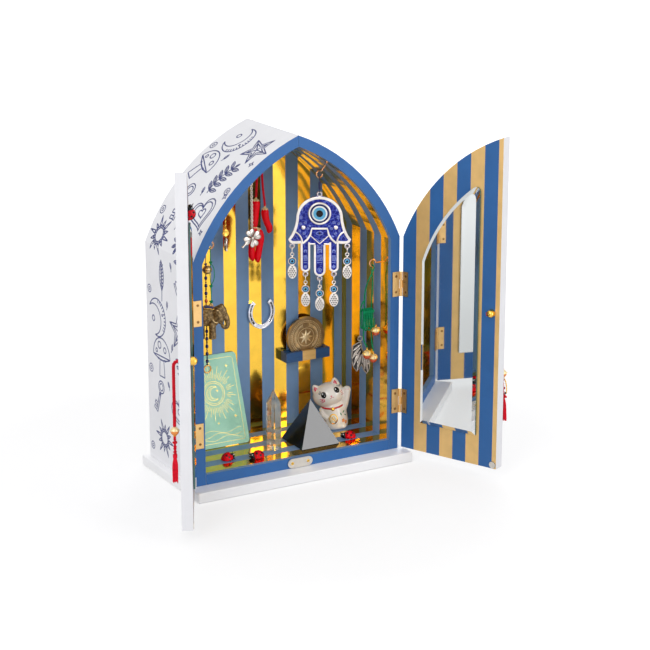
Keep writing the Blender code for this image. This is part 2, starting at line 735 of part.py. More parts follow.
def hamsa_eyes():
    """The middles of the eyes from which the dangles hang, from the hamsa's top."""
    drop = EYE_RADIUS - EYE_OVERLAP
    wing = (HAMSA_WING_REACH - 4.4 * MM, -HAMSA_WING_DROP - 6.5 * MM)
    finger = (HAMSA_FINGER_AT, -HAMSA_FINGER_END - drop)
    return [(-wing[0], wing[1]), (-finger[0], finger[1]), (0, -HAMSA_MIDDLE_END - drop), finger, wing]


def hamsa_outline():
    """The right half of the hand, from its top eye to its middle finger's eye."""
    wing_eye = hamsa_eyes()[4]
    finger_eye = hamsa_eyes()[3]
    middle_eye = hamsa_eyes()[2]
    top_eye = (0, EYE_RADIUS - EYE_OVERLAP)
    dome_half = HAMSA_DOME_WIDTH / 2
    wing = (HAMSA_WING_REACH, -HAMSA_WING_DROP)
    finger_end = HAMSA_FINGER_END - HAMSA_FINGER_HALF
    middle_end = HAMSA_MIDDLE_END - HAMSA_MIDDLE_HALF
    finger = (HAMSA_FINGER_AT, -finger_end)
    outer_edge = HAMSA_FINGER_AT + HAMSA_FINGER_HALF
    inner_edge = HAMSA_FINGER_AT - HAMSA_FINGER_HALF
    palm = -HAMSA_WING_DROP - 2 * MM

    half = [(0, top_eye[1] + EYE_RADIUS)] + eye(top_eye, 75, -35)
    half += [(dome_half * across, HAMSA_DOME_HEIGHT * (up - 1)) for across, up in arc((0, 0), 1, 75, 0, 8)]
    half += bend((dome_half, -HAMSA_DOME_HEIGHT), (dome_half + 1.5 * MM, -0.8 * HAMSA_WING_DROP), wing, 5)[1:]
    half += [(wing[0] - 1.2 * MM, wing[1] - 2.2 * MM)] + eye(wing_eye, 60, -240)
    half += [(outer_edge + 1.5 * MM, wing[1] - 3.4 * MM), (outer_edge, palm)]
    half += arc(finger, HAMSA_FINGER_HALF, 0, -60, 4) + eye(finger_eye, 40, -220)
    half += arc(finger, HAMSA_FINGER_HALF, -120, -180, 4)
    half += [(inner_edge, -HAMSA_SLOT_TOP), (HAMSA_MIDDLE_HALF, -HAMSA_SLOT_TOP)]
    half += arc((0, -middle_end), HAMSA_MIDDLE_HALF, 0, -60, 4) + eye(middle_eye, 40, -75)
    half += [(0, middle_eye[1] - EYE_RADIUS)]
    return half


def dangle(name, place, swing):
    """A link ring, an eye bead and a small hand, which turn on the hamsa's eye."""
    link_radius = LINK_INNER + LINK_WIRE
    ring = [Vector((0, across, up - LINK_HANG)) for across, up in arc((0, 0), link_radius, 0, 330, 11)]
    loop = tube(name, ring, LINK_WIRE, SILVER, detail=1, closed=True)
    bead_at = -DANGLE_BEAD_AT
    hand_at = -DANGLE_HAND_AT
    hand_half = DANGLE_HAND_WIDTH / 2
    hand_long = DANGLE_HAND_HEIGHT / 2
    half = [(0, DANGLE_EYE_RADIUS - DANGLE_EYE_AT)] + arc((0, -DANGLE_EYE_AT), DANGLE_EYE_RADIUS, 60, -60, 5)
    half += [(DANGLE_NECK, bead_at + DANGLE_BEAD_RADIUS)]
    half += arc((0, bead_at), DANGLE_BEAD_RADIUS, 65, -60, 6)
    hand = arc((0, 0), 1, 65, -65, 7)
    half += [(hand_half * across, hand_at + hand_long * up) for across, up in hand]
    half += [(0, hand_at - hand_long)]
    hole = arc((0, -DANGLE_EYE_AT), DANGLE_EYE_HOLE, 0, 315, 7)
    charm = plate(name + "_charm", both_halves(half), DANGLE_THICK, SILVER, holes=[hole])
    put(charm, (0, 0, 0), UPRIGHT)
    solid = joined(loop, charm)
    put(solid, place, parent=swing)


def hamsa():
    """The hamsa on its cord, with its five dangles, below the hook in the right of the vault."""
    root = cabinet_point(HAMSA_HOOK_X, HAMSA_HOOK_Y, arch_height(HAMSA_HOOK_X, WALL))
    hang = screw_hook("hamsa_hook", root, vault_inward(HAMSA_HOOK_X))
    swing = pivot("hamsa_swing", hang, HAMSA_TURN_DEG)
    top = -HAMSA_DROP - EYE_RADIUS + EYE_OVERLAP
    cord_end = -HAMSA_DROP + EYE_RADIUS + SEAT
    cord_top = -HOOK_WIRE - SEAT
    middle = (cord_top + cord_end) / 2
    cord = tube("hamsa_cord", [(0, 0, cord_top), (0, 0, middle), (0, 0, cord_end)], HAMSA_CORD_RADIUS, NAVY_CORD)
    cord.parent = swing
    holes = [eye_hole(centre) for centre in [(0, EYE_RADIUS - EYE_OVERLAP), *hamsa_eyes()]]
    hand = plate("hamsa", both_halves(hamsa_outline()), HAMSA_THICK, COBALT, holes=holes)
    put(hand, (0, 0, top), UPRIGHT, swing)
    bar = (EYE_RADIUS + EYE_HOLE) / 2
    for index, (across, up) in enumerate(hamsa_eyes()):
        dangle(f"hamsa_dangle_{index + 1}", (across, 0, top + up - bar), swing)


# Charms on cords
def chili(name, places, rear, vault, girth=1.0):
    """A curved pepper with a blunt tip, through places in shares of the bundle's drop from the vault."""
    route = smooth_route([(across * CHILI_DROP, rear, vault - down * CHILI_DROP) for across, down in places], 4 * MM)
    last = len(route) - 1
    shares = []
    for index in range(last + 1):
        along = index / last
        shoulder = 0.5 + 0.5 * min(1.0, along / 0.18)
        tip = math.sqrt(1 - min(0.9, max(0.0, (along - 0.85) / 0.15) ** 2))
        shares.append(girth * shoulder * (1 - 0.25 * along) * tip)
    return tube(name, route, CHILI_RADIUS, RED_GLOSS, shares=shares)


def chili_bundle():
    """Peppers on a red cord, and a clover on a chain, hung side by side from the left of the vault."""
    axis = arch_height(CLOVER_X, WALL)
    swing = pivot("chili_swing", cabinet_point(CHILI_X, CHILI_Y, axis))
    vault = arch_height(CHILI_X, WALL) - axis
    loop = vault + (SEAT + CHILI_CORD_RADIUS) / vault_inward(CHILI_X).z
    rear = CLOVER_FRONT * CLOVER_SHARE
    drop = CHILI_DROP
    knee = 2.2 * CHILI_CORD_RADIUS
    places = [(0.052 * drop, rear, vault - 0.534 * drop), (0.032 * drop, rear, vault - 0.355 * drop),
              (0.014 * drop, rear / 2, vault - 0.097 * drop), (CHILI_CORD_RADIUS, 0, loop - knee), (0, 0, loop),
              (-CHILI_CORD_RADIUS, 0, loop - knee), (-0.013 * drop, rear / 2, vault - 0.097 * drop),
              (-0.019 * drop, rear, vault - 0.274 * drop), (-0.03 * drop, rear, vault - 0.451 * drop)]
    cord = tube("chili_cord", smooth_route(places, 2.6 * MM), CHILI_CORD_RADIUS, RED_CORD, detail=1)
    cord.parent = swing
    hung = vault - SEAT
    short = chili("chili_short", ((0.052, 0.534), (0.052, 0.596), (0.067, 0.666), (0.091, 0.719), (0.084, 0.764)),
                  rear, hung, 0.9)
    short.parent = swing
    upper = chili("chili_pair", ((-0.03, 0.451), (-0.037, 0.577), (-0.051, 0.71)), rear, hung)
    front = chili("chili_front", ((-0.02, 0.702), (0.006, 0.79), (-0.006, 0.877), (-0.02, 0.956), (-0.013, 1)),
                  rear, hung)
    other = chili("chili_rear", ((-0.052, 0.677), (-0.061, 0.766), (-0.071, 0.843), (-0.076, 0.921), (-0.064, 0.98)),
                  rear, hung)
    joined(upper, front, other).parent = swing
    clover_charm(swing)


def clover_charm(swing):
    """A four-leaf clover on a chain that hangs from the joint's axis at the vault."""
    outline = []
    for step in range(48):
        angle = math.radians(step * 7.5)
        leaf = abs(math.cos(2 * angle)) ** 0.6
        notch = 0.13 * math.exp(-(math.sin(2 * angle) / 0.3) ** 2)
        radius = CLOVER_RADIUS * (0.28 + 0.72 * leaf) * (1 - notch)
        outline.append((radius * math.cos(angle + math.radians(20)), radius * math.sin(angle + math.radians(20))))
    leaves = plate("clover_charm", outline, CLOVER_THICK, SILVER)
    put(leaves, (0, 0, 0), UPRIGHT)
    size = CLOVER_RADIUS
    stem_route = smooth_route([(0, 0, 0), (-0.63 * size, 0, -0.42 * size), (-1.16 * size, 0, -0.9 * size)], 4 * MM)
    stem = tube("clover_stem", stem_route, CLOVER_THICK * 0.4, SILVER, detail=1)
    front = CLOVER_FRONT * (1 - CLOVER_SHARE)
    drop = CLOVER_DROP + arch_height(CLOVER_X, WALL) - arch_height(CHILI_X, WALL)
    top = drop - (SEAT + CHAIN_RADIUS) / -vault_inward(CLOVER_X).z
    chain = tube("clover_chain", [(0, 0, 0), (0, 0, 0.4 * drop), (0, 0.5 * front, 0.8 * drop), (0, front, top)],
                 CHAIN_RADIUS, SILVER, detail=1)
    charm = joined(leaves, stem, chain)
    put(charm, (CLOVER_X - CHILI_X, -front, -drop), parent=swing)


def small_charm():
    """A disc and a drop on a fine chain."""
    top = arch_height(SMALL_CHARM_X, WALL)
    swing = pivot("small_charm_swing", cabinet_point(SMALL_CHARM_X, SMALL_CHARM_Y, top))
    chain = CHAIN_RADIUS * 0.8
    disc = SMALL_CHARM_DISC
    drop = SMALL_CHARM_DROP
    head = -SEAT - CHAIN_RADIUS
    profile = [(0, head), (chain, head), (chain, -drop + 6.6 * disc)]
    profile += [(disc, -drop + 6 * disc), (disc, -drop + 5.4 * disc), (chain, -drop + 4.8 * disc),
                (disc * 0.55, -drop + 3.6 * disc), (disc * 0.6, -drop + 1.2 * disc), (0, -drop)]
    charm = turned("small_charm", profile, BRASS, steps=10)
    charm.parent = swing


def elephant_body(name):
    """The elephant's solid, facing local +X, with the eye on its back below the origin."""
    long = ELEPHANT_LENGTH
    high = ELEPHANT_HEIGHT
    belly = -0.40 * high
    eye_at = ELEPHANT_EYE_SHARE * high
    body = ball(name, (0.36 * long, 0.23 * long, 0.27 * high), (-0.12 * long, 0, belly), BRONZE)
    head = ball("head", (0.19 * long, 0.17 * long, 0.19 * high), (0.27 * long, 0, -0.29 * high), BRONZE)
    shapes = [head]
    trunk = smooth_route([(0.36 * long, 0, -0.34 * high), (0.45 * long, 0, -0.48 * high),
                          (0.475 * long, 0, -0.62 * high), (0.42 * long, 0, -0.72 * high),
                          (0.33 * long, 0, -0.69 * high)], 3.2 * MM)
    taper = [1.0 - 0.5 * index / (len(trunk) - 1) for index in range(len(trunk))]
    shapes.append(tube("trunk", trunk, 0.085 * long, BRONZE, shares=taper))
    for across in (-1, 1):
        ear = Matrix.Rotation(math.radians(across * 24), 4, "Z")
        shapes.append(ball("ear", (0.15 * long, 0.04 * long, 0.18 * high),
                           (0.17 * long, across * 0.19 * long, -0.38 * high), BRONZE, 12, 8, ear))
        for along in (-0.30, 0.08):
            foot = [(0.105 * long, 0), (0.085 * long, -0.2 * high), (0.1 * long, -0.46 * high), (0, -0.46 * high)]
            leg = turned("leg", [(0, 0), *foot], BRONZE, steps=10)
            shapes.append(put(leg, (along * long, across * 0.115 * long, -0.54 * high)))
    eyelet = [Vector((across, 0, up)) for across, up in arc((0, eye_at), ELEPHANT_EYE, 0, 330, 11)]
    shapes.append(tube("eyelet", eyelet, ELEPHANT_EYE_WIRE, BRONZE, detail=1, closed=True))
    return joined(body, *shapes)


def elephant():
    """The elephant on its green cord below the hook in the left of the vault."""
    root = cabinet_point(LEFT_HOOK_X, LEFT_HOOK_Y, arch_height(LEFT_HOOK_X, WALL))
    hang = screw_hook("left_hook", root, vault_inward(LEFT_HOOK_X))
    swing = pivot("elephant_swing", hang, ELEPHANT_TURN_DEG)
    top = -HOOK_WIRE - SEAT
    end = top - ELEPHANT_CORD_DROP
    places = [(0, 0, top), (0.3 * MM, 0, 0.7 * top + 0.3 * end), (-0.3 * MM, 0, 0.35 * top + 0.65 * end), (0, 0, end)]
    cord = tube("elephant_cord", smooth_route(places, 3 * MM), ELEPHANT_CORD_RADIUS, GREEN_CORD)
    cord.parent = swing
    beast = elephant_body("elephant")
    eye_top = ELEPHANT_EYE_SHARE * ELEPHANT_HEIGHT + ELEPHANT_EYE + ELEPHANT_EYE_WIRE
    put(beast, (0, 0, end - SEAT - eye_top), parent=swing)


def bead_string():
    """A bell bead, dark beads and a ring charm on one string from the left of the vault."""
    top = arch_height(BEAD_STRING_X, WALL)
    swing = pivot("bead_string_swing", cabinet_point(BEAD_STRING_X, BEAD_STRING_Y, top))
    thread = BEAD_RADIUS * 0.45
    bell = BELL_RADIUS
    head = -SEAT - BEAD_RADIUS * 1.5
    profile = [(0, head), (thread, head), (thread, -BEAD_STRING_BELL_AT + bell)]
    profile += [(bell * across, -BEAD_STRING_BELL_AT + bell * up) for across, up in arc((0, 0), 1, 60, -60, 5)]
    start = BEAD_STRING_BELL_AT + 1.2 * bell
    pitch = (BEAD_STRING_LENGTH - start) / BEAD_COUNT
    for bead in range(BEAD_COUNT):
        first = -start - bead * pitch
        profile += [(thread, first), (BEAD_RADIUS, first - 0.3 * pitch), (BEAD_RADIUS, first - 0.6 * pitch)]
    profile += [(thread, -BEAD_STRING_LENGTH), (thread, -BEAD_STRING_LENGTH - RING_CHARM_WIRE),
                (0, -BEAD_STRING_LENGTH - RING_CHARM_WIRE)]
    string = turned("bead_string", profile, NAVY_CORD, steps=8)
    low = -BEAD_STRING_LENGTH - RING_CHARM_RADIUS
    ring = [Vector((across, 0, up)) for across, up in arc((0, low), RING_CHARM_RADIUS, 0, 330, 11)]
    charm = tube("ring", ring, RING_CHARM_WIRE, BRASS, detail=1, closed=True)
    joined(string, charm).parent = swing


def bell(name, place, swing, size=1.0):
    """A round bell with a shoulder and an eye post."""
    radius = BELL_RADIUS * size
    height = BELL_HEIGHT * size
    profile = [(0, 0), (0.2 * radius, 0), (0.25 * radius, -0.18 * height), (0.62 * radius, -0.3 * height),
               (radius, -0.52 * height), (radius, -0.64 * height), (0.72 * radius, -0.88 * height), (0, -height)]
    put(turned(name, profile, BRASS, steps=12), place, parent=swing)


def hank_route():
    """A flattened coil of cord, listed along its winding."""
    route = []
    for step in range(HANK_TURNS * HANK_POINTS + 1):
        angle = 2 * math.pi * step / HANK_POINTS
        across = HANK_PITCH * (step / HANK_POINTS - HANK_TURNS / 2)
        route.append(Vector((across, -HANK_HALF_DEPTH * math.cos(angle), HANK_HALF_HEIGHT * math.sin(angle))))
    return route


def least_gap(route, radius):
    """The least clear distance between turns of a wound tube."""
    least = math.inf
    for first, place in enumerate(route):
        for other in route[first + HANK_POINTS // 2:]:
            least = min(least, (place - other).length - 2 * radius)
    return least


def right_charms():
    """A green cord over the right hook with its hank, bells and filigree charm."""
    root = cabinet_point(INNER_HALF, RIGHT_HOOK_Y, RIGHT_HOOK_Z)
    hang = screw_hook("right_hook", root, Vector((-1, 0, 0)), RIGHT_HOOK_SHANK)
    swing = pivot("right_charms_swing", hang)
    over = HOOK_WIRE + BELL_CORD_RADIUS + SEAT
    behind = BELL_CORD_BEHIND
    left_end = Vector((-8 * MM, -BELL_FRONT, -85 * MM))
    right_end = Vector((-0.3 * MM, -BELL_FRONT, -90 * MM))
    beside = Vector((-8.6 * MM, behind, -76.4 * MM))
    crossing = [Vector((0, across, up)) for across, up in arc((0, 0), over, 170, 10, 8)]
    places = [left_end, beside, (-7.8 * MM, behind, -50 * MM), (-7.4 * MM, behind, -30 * MM),
              (-6.4 * MM, 0.2 * MM, -18 * MM), (-3.6 * MM, -over, -6 * MM), crossing[0]]
    left_strand = smooth_route(places, 2.6 * MM)
    places = [crossing[-1], (0.9 * MM, over, -5 * MM), (1.7 * MM, behind, -15 * MM),
              (0.9 * MM, behind, -43 * MM), (0.8 * MM, behind, -76 * MM), right_end]
    right_strand = smooth_route(places, 2.6 * MM)
    route = left_strand + crossing[1:-1] + right_strand
    cord = tube("bell_cord", route, BELL_CORD_RADIUS, GREEN_CORD, detail=1)
    cord.parent = swing
    route = hank_route()
    print(f"hank least gap {least_gap(route, HANK_TUBE) * 1000:.2f} mm")
    hank = tube("cord_hank", route, HANK_TUBE, GREEN_CORD, detail=1)
    in_front = behind - BELL_CORD_RADIUS - SEAT
    put(hank, (-7.2 * MM, in_front - HANK_TUBE - HANK_HALF_DEPTH, -54.5 * MM), parent=swing)
    bell("bell_upper", (2.6 * MM, in_front - BELL_RADIUS, -62 * MM), swing)
    hung = Vector((0, 0, SEAT + 0.6 * BELL_CORD_RADIUS))
    bell("bell_left", left_end - hung, swing)
    bell("bell_right", right_end - hung, swing)
    filigree_charm(swing, beside)


def filigree_charm(swing, beside):
    """A pierced leaf cluster whose ring lies against the cord."""
    ring = FILIGREE_RING
    centre = beside - Vector((BELL_CORD_RADIUS + SEAT + ring, 0, 0))
    half = [(0, ring)] + arc((0, 0), ring, 75, -50, 5)
    part = FILIGREE_DROP / 39
    edges = [((1.8, -5), (2, -16), (8, -20), 5), ((11, -23), (15, -32), (8.6, -39), 6),
             ((5, -35), (3.4, -30), (2, -28), 3), ((0.6, -30), (-1.4, -33), (-4, -35), 3),
             ((-8, -30), (-11.4, -22), (-10, -12), 5), ((-9, -6.5), (-5, -5), (-1.8, -4), 4)]
    outline = list(half)
    for start, control, end, steps in edges:
        outline += [(across * part, up * part) for across, up in bend(start, control, end, steps)]
    outline += [(-across, up) for across, up in reversed(half[1:-1])]
    holes = [arc((0, 0), ring * 0.6, 0, 315, 7)]
    for across, up, size in ((-5.4, -9.5, 1.4), (-4.6, -16, 1.7), (-5.2, -24, 1.7), (5.6, -26, 1.7), (8, -32, 1.5)):
        holes.append(arc((across * part, up * part), size * part, 0, 300, 5))
    charm = plate("filigree_charm", outline, FILIGREE_THICK, SILVER, holes=holes)
    put(charm, centre, UPRIGHT, swing)


# Pieces on the back wall
def horseshoe():
    outer = []
    inner = []
    nails = []
    steps = 20
    for step in range(steps + 1):
        angle = math.radians(HORSESHOE_GAP_DEG + (360 - 2 * HORSESHOE_GAP_DEG) * step / steps)
        place = Vector((HORSESHOE_HALF_WIDTH * math.sin(angle), HORSESHOE_HALF_HEIGHT * math.cos(angle)))
        normal = Vector((math.sin(angle) / HORSESHOE_HALF_WIDTH, math.cos(angle) / HORSESHOE_HALF_HEIGHT)).normalized()
        outer.append(tuple(place + normal * HORSESHOE_BAND / 2))
        inner.append(tuple(place - normal * HORSESHOE_BAND / 2))
        if step in (2, 4, 6, steps - 6, steps - 4, steps - 2):
            nails.append(arc(place, HORSESHOE_NAIL, 0, 300, 5))
    shoe = plate("horseshoe", outer + inner[::-1], HORSESHOE_THICK, SILVER, holes=nails)
    put(shoe, cabinet_point(HORSESHOE_X, BACK_FACE - SEAT - HORSESHOE_THICK / 2, HORSESHOE_Z), UPRIGHT)


def coin_and_shelf():
    """A coin that stands in the slot of a small shelf."""
    back = BACK_FACE - SEAT
    low = cabinet_point(SHELF_X - SHELF_LENGTH / 2, back - SHELF_DEPTH, SHELF_Z)
    high = cabinet_point(SHELF_X + SHELF_LENGTH / 2, back, SHELF_Z + SHELF_HEIGHT)
    shelf = box("coin_shelf", low, high, BLUE_PAINT)
    middle = back - SHELF_DEPTH / 2
    slot_half = COIN_THICK / 2 + COIN_CLEAR
    slot_low = SHELF_Z + SHELF_HEIGHT - SHELF_SLOT_DEPTH
    reach = COIN_RADIUS + COIN_CLEAR
    slot = box("coin_slot", cabinet_point(SHELF_X - reach, middle - slot_half, slot_low),
               cabinet_point(SHELF_X + reach, middle + slot_half, SHELF_Z + SHELF_HEIGHT + COIN_RADIUS),
               BLUE_PAINT, cutters)
    cut(shelf, slot)
    half = COIN_THICK / 2
    face = half - COIN_SUNK
    field = COIN_RADIUS - COIN_RIM
    profile = [(0, face), (field, face), (field + COIN_SUNK, half), (COIN_RADIUS, half), (COIN_RADIUS, -half),
               (field + COIN_SUNK, -half), (field, -face), (0, -face)]
    coin = turned("coin", profile, BRONZE, steps=30)
    put(coin, cabinet_point(SHELF_X, middle, slot_low + COIN_CLEAR + COIN_RADIUS), UPRIGHT)


# Pieces on the floor
def floor_point(across, back):
    return cabinet_point(across, back, FLOOR_HEIGHT + SEAT)


def card():
    """A card that stands on the floor and leans on the back wall."""
    half = CARD_WIDTH / 2
    corner = CARD_CORNER
    outline = []
    for across, up, start in ((half, CARD_HEIGHT, 0), (-half, CARD_HEIGHT, 90), (-half, 0, 180), (half, 0, 270)):
        centre = (across - math.copysign(corner, across), up + (corner if up == 0 else -corner))
        outline += arc(centre, corner, start, start + 90, 4)
    made = plate("card", outline, CARD_THICK, MINT_CARD)
    lean = math.asin((BACK_FACE - CARD_FOOT_Y - CARD_THICK - SEAT) / CARD_HEIGHT)
    turn = Matrix.Rotation(math.radians(90) - lean, 4, "X")
    foot = floor_point(CARD_X, CARD_FOOT_Y)
    put(made, foot + Vector((0, 0, CARD_THICK / 2 * math.sin(lean))), turn)


def crystal():
    shoulder = CRYSTAL_HEIGHT - CRYSTAL_POINT
    profile = [(0, CRYSTAL_HEIGHT), (CRYSTAL_RADIUS * 0.93, shoulder), (CRYSTAL_RADIUS, 0), (0, 0)]
    point = turned("crystal", profile, CLEAR_QUARTZ, steps=6)
    put(point, floor_point(CRYSTAL_X, CRYSTAL_Y), Matrix.Rotation(math.radians(12), 4, "Z"))


def pyramid():
    builder = bmesh.new()
    bmesh.ops.create_cone(builder, cap_ends=True, segments=4, radius1=PYRAMID_SIDE / math.sqrt(2),
                          radius2=0.0, depth=PYRAMID_HEIGHT)
    bmesh.ops.rotate(builder, matrix=Matrix.Rotation(math.radians(45), 3, "Z"), verts=builder.verts)
    bmesh.ops.translate(builder, vec=(0, 0, PYRAMID_HEIGHT / 2), verts=builder.verts)
    put(mesh_object("pyramid", builder, BLACK_STONE), floor_point(PYRAMID_X, PYRAMID_Y))


def lucky_cat():
    """A sitting cat with one raised paw, which faces local -Y."""
    girth = CAT_RADIUS
    tall = CAT_BODY_HEIGHT
    sides = [(0.55, 1.12), (0.80, 0.85), (0.94, 0.5), (1.0, 0.22), (0.93, 0.0)]
    profile = [(0, 1.2 * tall)] + [(girth * across, tall * up) for across, up in sides] + [(0, 0)]
    body = turned("lucky_cat", profile, WHITE_GLAZE, steps=16)
    tilt = Matrix.Rotation(math.radians(-CAT_HEAD_TILT_DEG), 4, "Y")
    middle = Vector((-CAT_HEAD_ASIDE, -0.1 * girth, CAT_HEAD_UP))
    half = Vector((CAT_HEAD_WIDTH, CAT_HEAD_DEPTH, CAT_HEAD_HEIGHT)) / 2
    shapes = [ball("head", half, middle, WHITE_GLAZE, 16, 12, tilt)]
    for across in (-1, 1):
        profile = [(0, CAT_EAR_HEIGHT), (0.55 * CAT_EAR_RADIUS, 0.8 * CAT_EAR_HEIGHT), (CAT_EAR_RADIUS, 0),
                   (CAT_EAR_RADIUS, -CAT_EAR_HEIGHT / 2), (0, -CAT_EAR_HEIGHT / 2)]
        ear = turned("ear", profile, WHITE_GLAZE, steps=10)
        seat = middle + tilt @ Vector((across * 0.6 * half.x, 0, 0.72 * half.z))
        shapes.append(put(ear, seat, tilt @ Matrix.Rotation(math.radians(across * 14), 4, "Y")))
    paw = Vector((CAT_PAW_ASIDE, -0.3 * girth, CAT_PAW_UP))
    arm_route = smooth_route([(0.6 * girth, -0.1 * girth, 0.6 * tall), (0.74 * girth, -0.26 * girth, tall), paw], 4 * MM)
    shapes.append(tube("arm", arm_route, 0.75 * CAT_PAW_RADIUS, WHITE_GLAZE))
    shapes.append(ball("paw", (CAT_PAW_RADIUS,) * 3, paw, WHITE_GLAZE, 10, 8))
    cat = joined(body, *shapes)
    put(cat, floor_point(CAT_X, CAT_Y), Matrix.Rotation(math.radians(CAT_TURN_DEG), 4, "Z"))


def ladybird(name, across, back, turn_deg):
    """A domed beetle, flat below, with its head towards local +X."""
    shell = ball(name, (LADYBIRD_LENGTH / 2, LADYBIRD_WIDTH / 2, LADYBIRD_HEIGHT), (0, 0, 0), RED_GLOSS)
    nose = 0.5 * LADYBIRD_LENGTH
    head = ball("head", (0.2 * LADYBIRD_LENGTH, 0.3 * LADYBIRD_WIDTH, 0.5 * LADYBIRD_HEIGHT),
                (nose, 0, 0.1 * LADYBIRD_HEIGHT), RED_GLOSS, 8, 6)
    beetle = joined(shell, head)
    builder = bmesh.new()
    builder.from_mesh(beetle.data)
    everything = list(builder.verts) + list(builder.edges) + list(builder.faces)
    sliced = bmesh.ops.bisect_plane(builder, geom=everything, plane_co=(0, 0, 0.05 * LADYBIRD_HEIGHT),
                                    plane_no=(0, 0, 1), clear_inner=True)
    rim = [one for one in sliced["geom_cut"] if isinstance(one, bmesh.types.BMEdge)]
    bmesh.ops.edgeloop_fill(builder, edges=rim)
    bmesh.ops.translate(builder, vec=(0, 0, -0.05 * LADYBIRD_HEIGHT), verts=builder.verts)
    bmesh.ops.recalc_face_normals(builder, faces=builder.faces)
    builder.to_mesh(beetle.data)
    builder.free()
    put(beetle, floor_point(across, back), Matrix.Rotation(math.radians(turn_deg), 4, "Z"))


base_board()
shell_half("left_wall", -1)
shell_half("right_wall", 1)
back_panel()
floor_panel()
catch_plate()
door("left", -1, LEFT_OPEN_DEG)
door("right", 1, RIGHT_OPEN_DEG)
hamsa()
chili_bundle()
small_charm()
elephant()
bead_string()
right_charms()
horseshoe()
coin_and_shelf()
card()
crystal()
pyramid()
lucky_cat()
for number, (beetle_x, beetle_y, beetle_turn) in enumerate(LADYBIRD_PLACES):
    ladybird(f"ladybird_{number + 1}", beetle_x, beetle_y, beetle_turn)
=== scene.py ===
"""Miniature temple ornament: finishes, small pieces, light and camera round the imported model."""
import json
import math
import random

import bmesh
import bpy
from mathutils import Matrix, Vector


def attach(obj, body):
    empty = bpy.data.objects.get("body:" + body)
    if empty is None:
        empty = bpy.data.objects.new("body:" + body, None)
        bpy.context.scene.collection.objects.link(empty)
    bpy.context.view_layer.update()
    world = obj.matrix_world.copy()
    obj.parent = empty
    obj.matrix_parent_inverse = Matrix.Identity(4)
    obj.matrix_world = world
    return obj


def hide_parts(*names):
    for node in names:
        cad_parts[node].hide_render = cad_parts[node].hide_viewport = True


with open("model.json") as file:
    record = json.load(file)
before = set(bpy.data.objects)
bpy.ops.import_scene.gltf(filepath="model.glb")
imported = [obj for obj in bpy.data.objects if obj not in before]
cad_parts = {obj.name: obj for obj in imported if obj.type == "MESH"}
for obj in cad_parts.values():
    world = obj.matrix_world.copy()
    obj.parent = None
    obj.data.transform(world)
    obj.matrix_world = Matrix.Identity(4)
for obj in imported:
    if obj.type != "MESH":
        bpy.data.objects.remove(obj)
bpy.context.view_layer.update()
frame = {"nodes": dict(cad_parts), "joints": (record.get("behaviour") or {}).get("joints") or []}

MM = 0.001
NODES = frame["nodes"]
JOINTS = {joint["name"]: joint for joint in frame["joints"]}
SCENE = bpy.context.scene
SCENE.view_settings.view_transform = "Standard"

# The cabinet's main sizes in millimetres: across from its middle, back from its front, up from its base
FRONT_Y = -47.75
BASE_UP = 10.5
HALF_WIDTH = 117.5
DEPTH = 109.0
WALL = 10.4
BACK_FACE = DEPTH - WALL
SPRING = 229.0
ARCH_RISE = 344.2 - SPRING
ARCH_BULGE = 16.9
ARCH_CHORD = math.hypot(HALF_WIDTH, ARCH_RISE)
ARCH_RADIUS = (ARCH_CHORD ** 2 / 4 + ARCH_BULGE ** 2) / (2 * ARCH_BULGE)
ARCH_X = HALF_WIDTH / 2 - (ARCH_RADIUS - ARCH_BULGE) * ARCH_RISE / ARCH_CHORD
ARCH_Z = SPRING + ARCH_RISE / 2 - (ARCH_RADIUS - ARCH_BULGE) * HALF_WIDTH / ARCH_CHORD
PIN_X = 118.9
PIN_Y = -1.2
DOOR_FACE = -2.4
DOOR_THICK = 11.0
OPEN_DEG = {"left": -116.6, "right": 113.6}
SIDES = {"left": -1, "right": 1}
FLOOR_UP = 11.5


def cabinet(across, back, up):
    """A place in the cabinet, in metres in the model's frame."""
    return Vector((across, FRONT_Y + back, BASE_UP + up)) * MM


def arch_height(across, inset=0.0):
    return ARCH_Z + math.sqrt((ARCH_RADIUS - inset) ** 2 - (abs(across) - ARCH_X) ** 2)


def hung_from(joint, turn_deg=0.0):
    """The frame of a hanging piece, in millimetres from its joint."""
    place = Matrix.Translation(Vector(JOINTS[joint]["pos_m"]))
    return place @ Matrix.Rotation(math.radians(turn_deg), 4, "Z") @ Matrix.Scale(MM, 4)


def standing(across, back, up, turn_deg=0.0):
    """The frame of a standing piece, in millimetres from a place in the cabinet."""
    turn = Matrix.Rotation(math.radians(turn_deg), 4, "Z")
    return Matrix.Translation(cabinet(across, back, up)) @ turn @ Matrix.Scale(MM, 4)


def on_door(label):
    """The frame of a door as it stands: across from the cabinet's middle, back and up as if it were shut."""
    pin = Matrix.Translation(cabinet(SIDES[label] * PIN_X, PIN_Y, 0))
    turn = Matrix.Rotation(math.radians(OPEN_DEG[label]), 4, "Z")
    back = Matrix.Translation(Vector((-SIDES[label] * PIN_X, -PIN_Y, 0)))
    return pin @ turn @ Matrix.Scale(MM, 4) @ back


# Camera
LENS = 110.66
SENSOR = 36
YAW_DEG = 29.69
PITCH_DEG = 16.05
CAMERA_AT = (-931.85, -1686.42, 705.69)

camera = bpy.data.cameras.new("camera")
camera.lens = LENS
camera.sensor_width = SENSOR
camera.clip_end = 20
yaw = math.radians(YAW_DEG)
pitch = math.radians(PITCH_DEG)
forward = Vector((math.sin(yaw) * math.cos(pitch), math.cos(yaw) * math.cos(pitch), -math.sin(pitch)))
rightward = Vector((math.cos(yaw), -math.sin(yaw), 0))
stand = bpy.data.objects.new("camera", camera)
turn = Matrix((rightward, rightward.cross(forward), -forward)).transposed().to_4x4()
stand.matrix_world = Matrix.Translation(cabinet(*CAMERA_AT)) @ turn
SCENE.collection.objects.link(stand)
SCENE.camera = stand


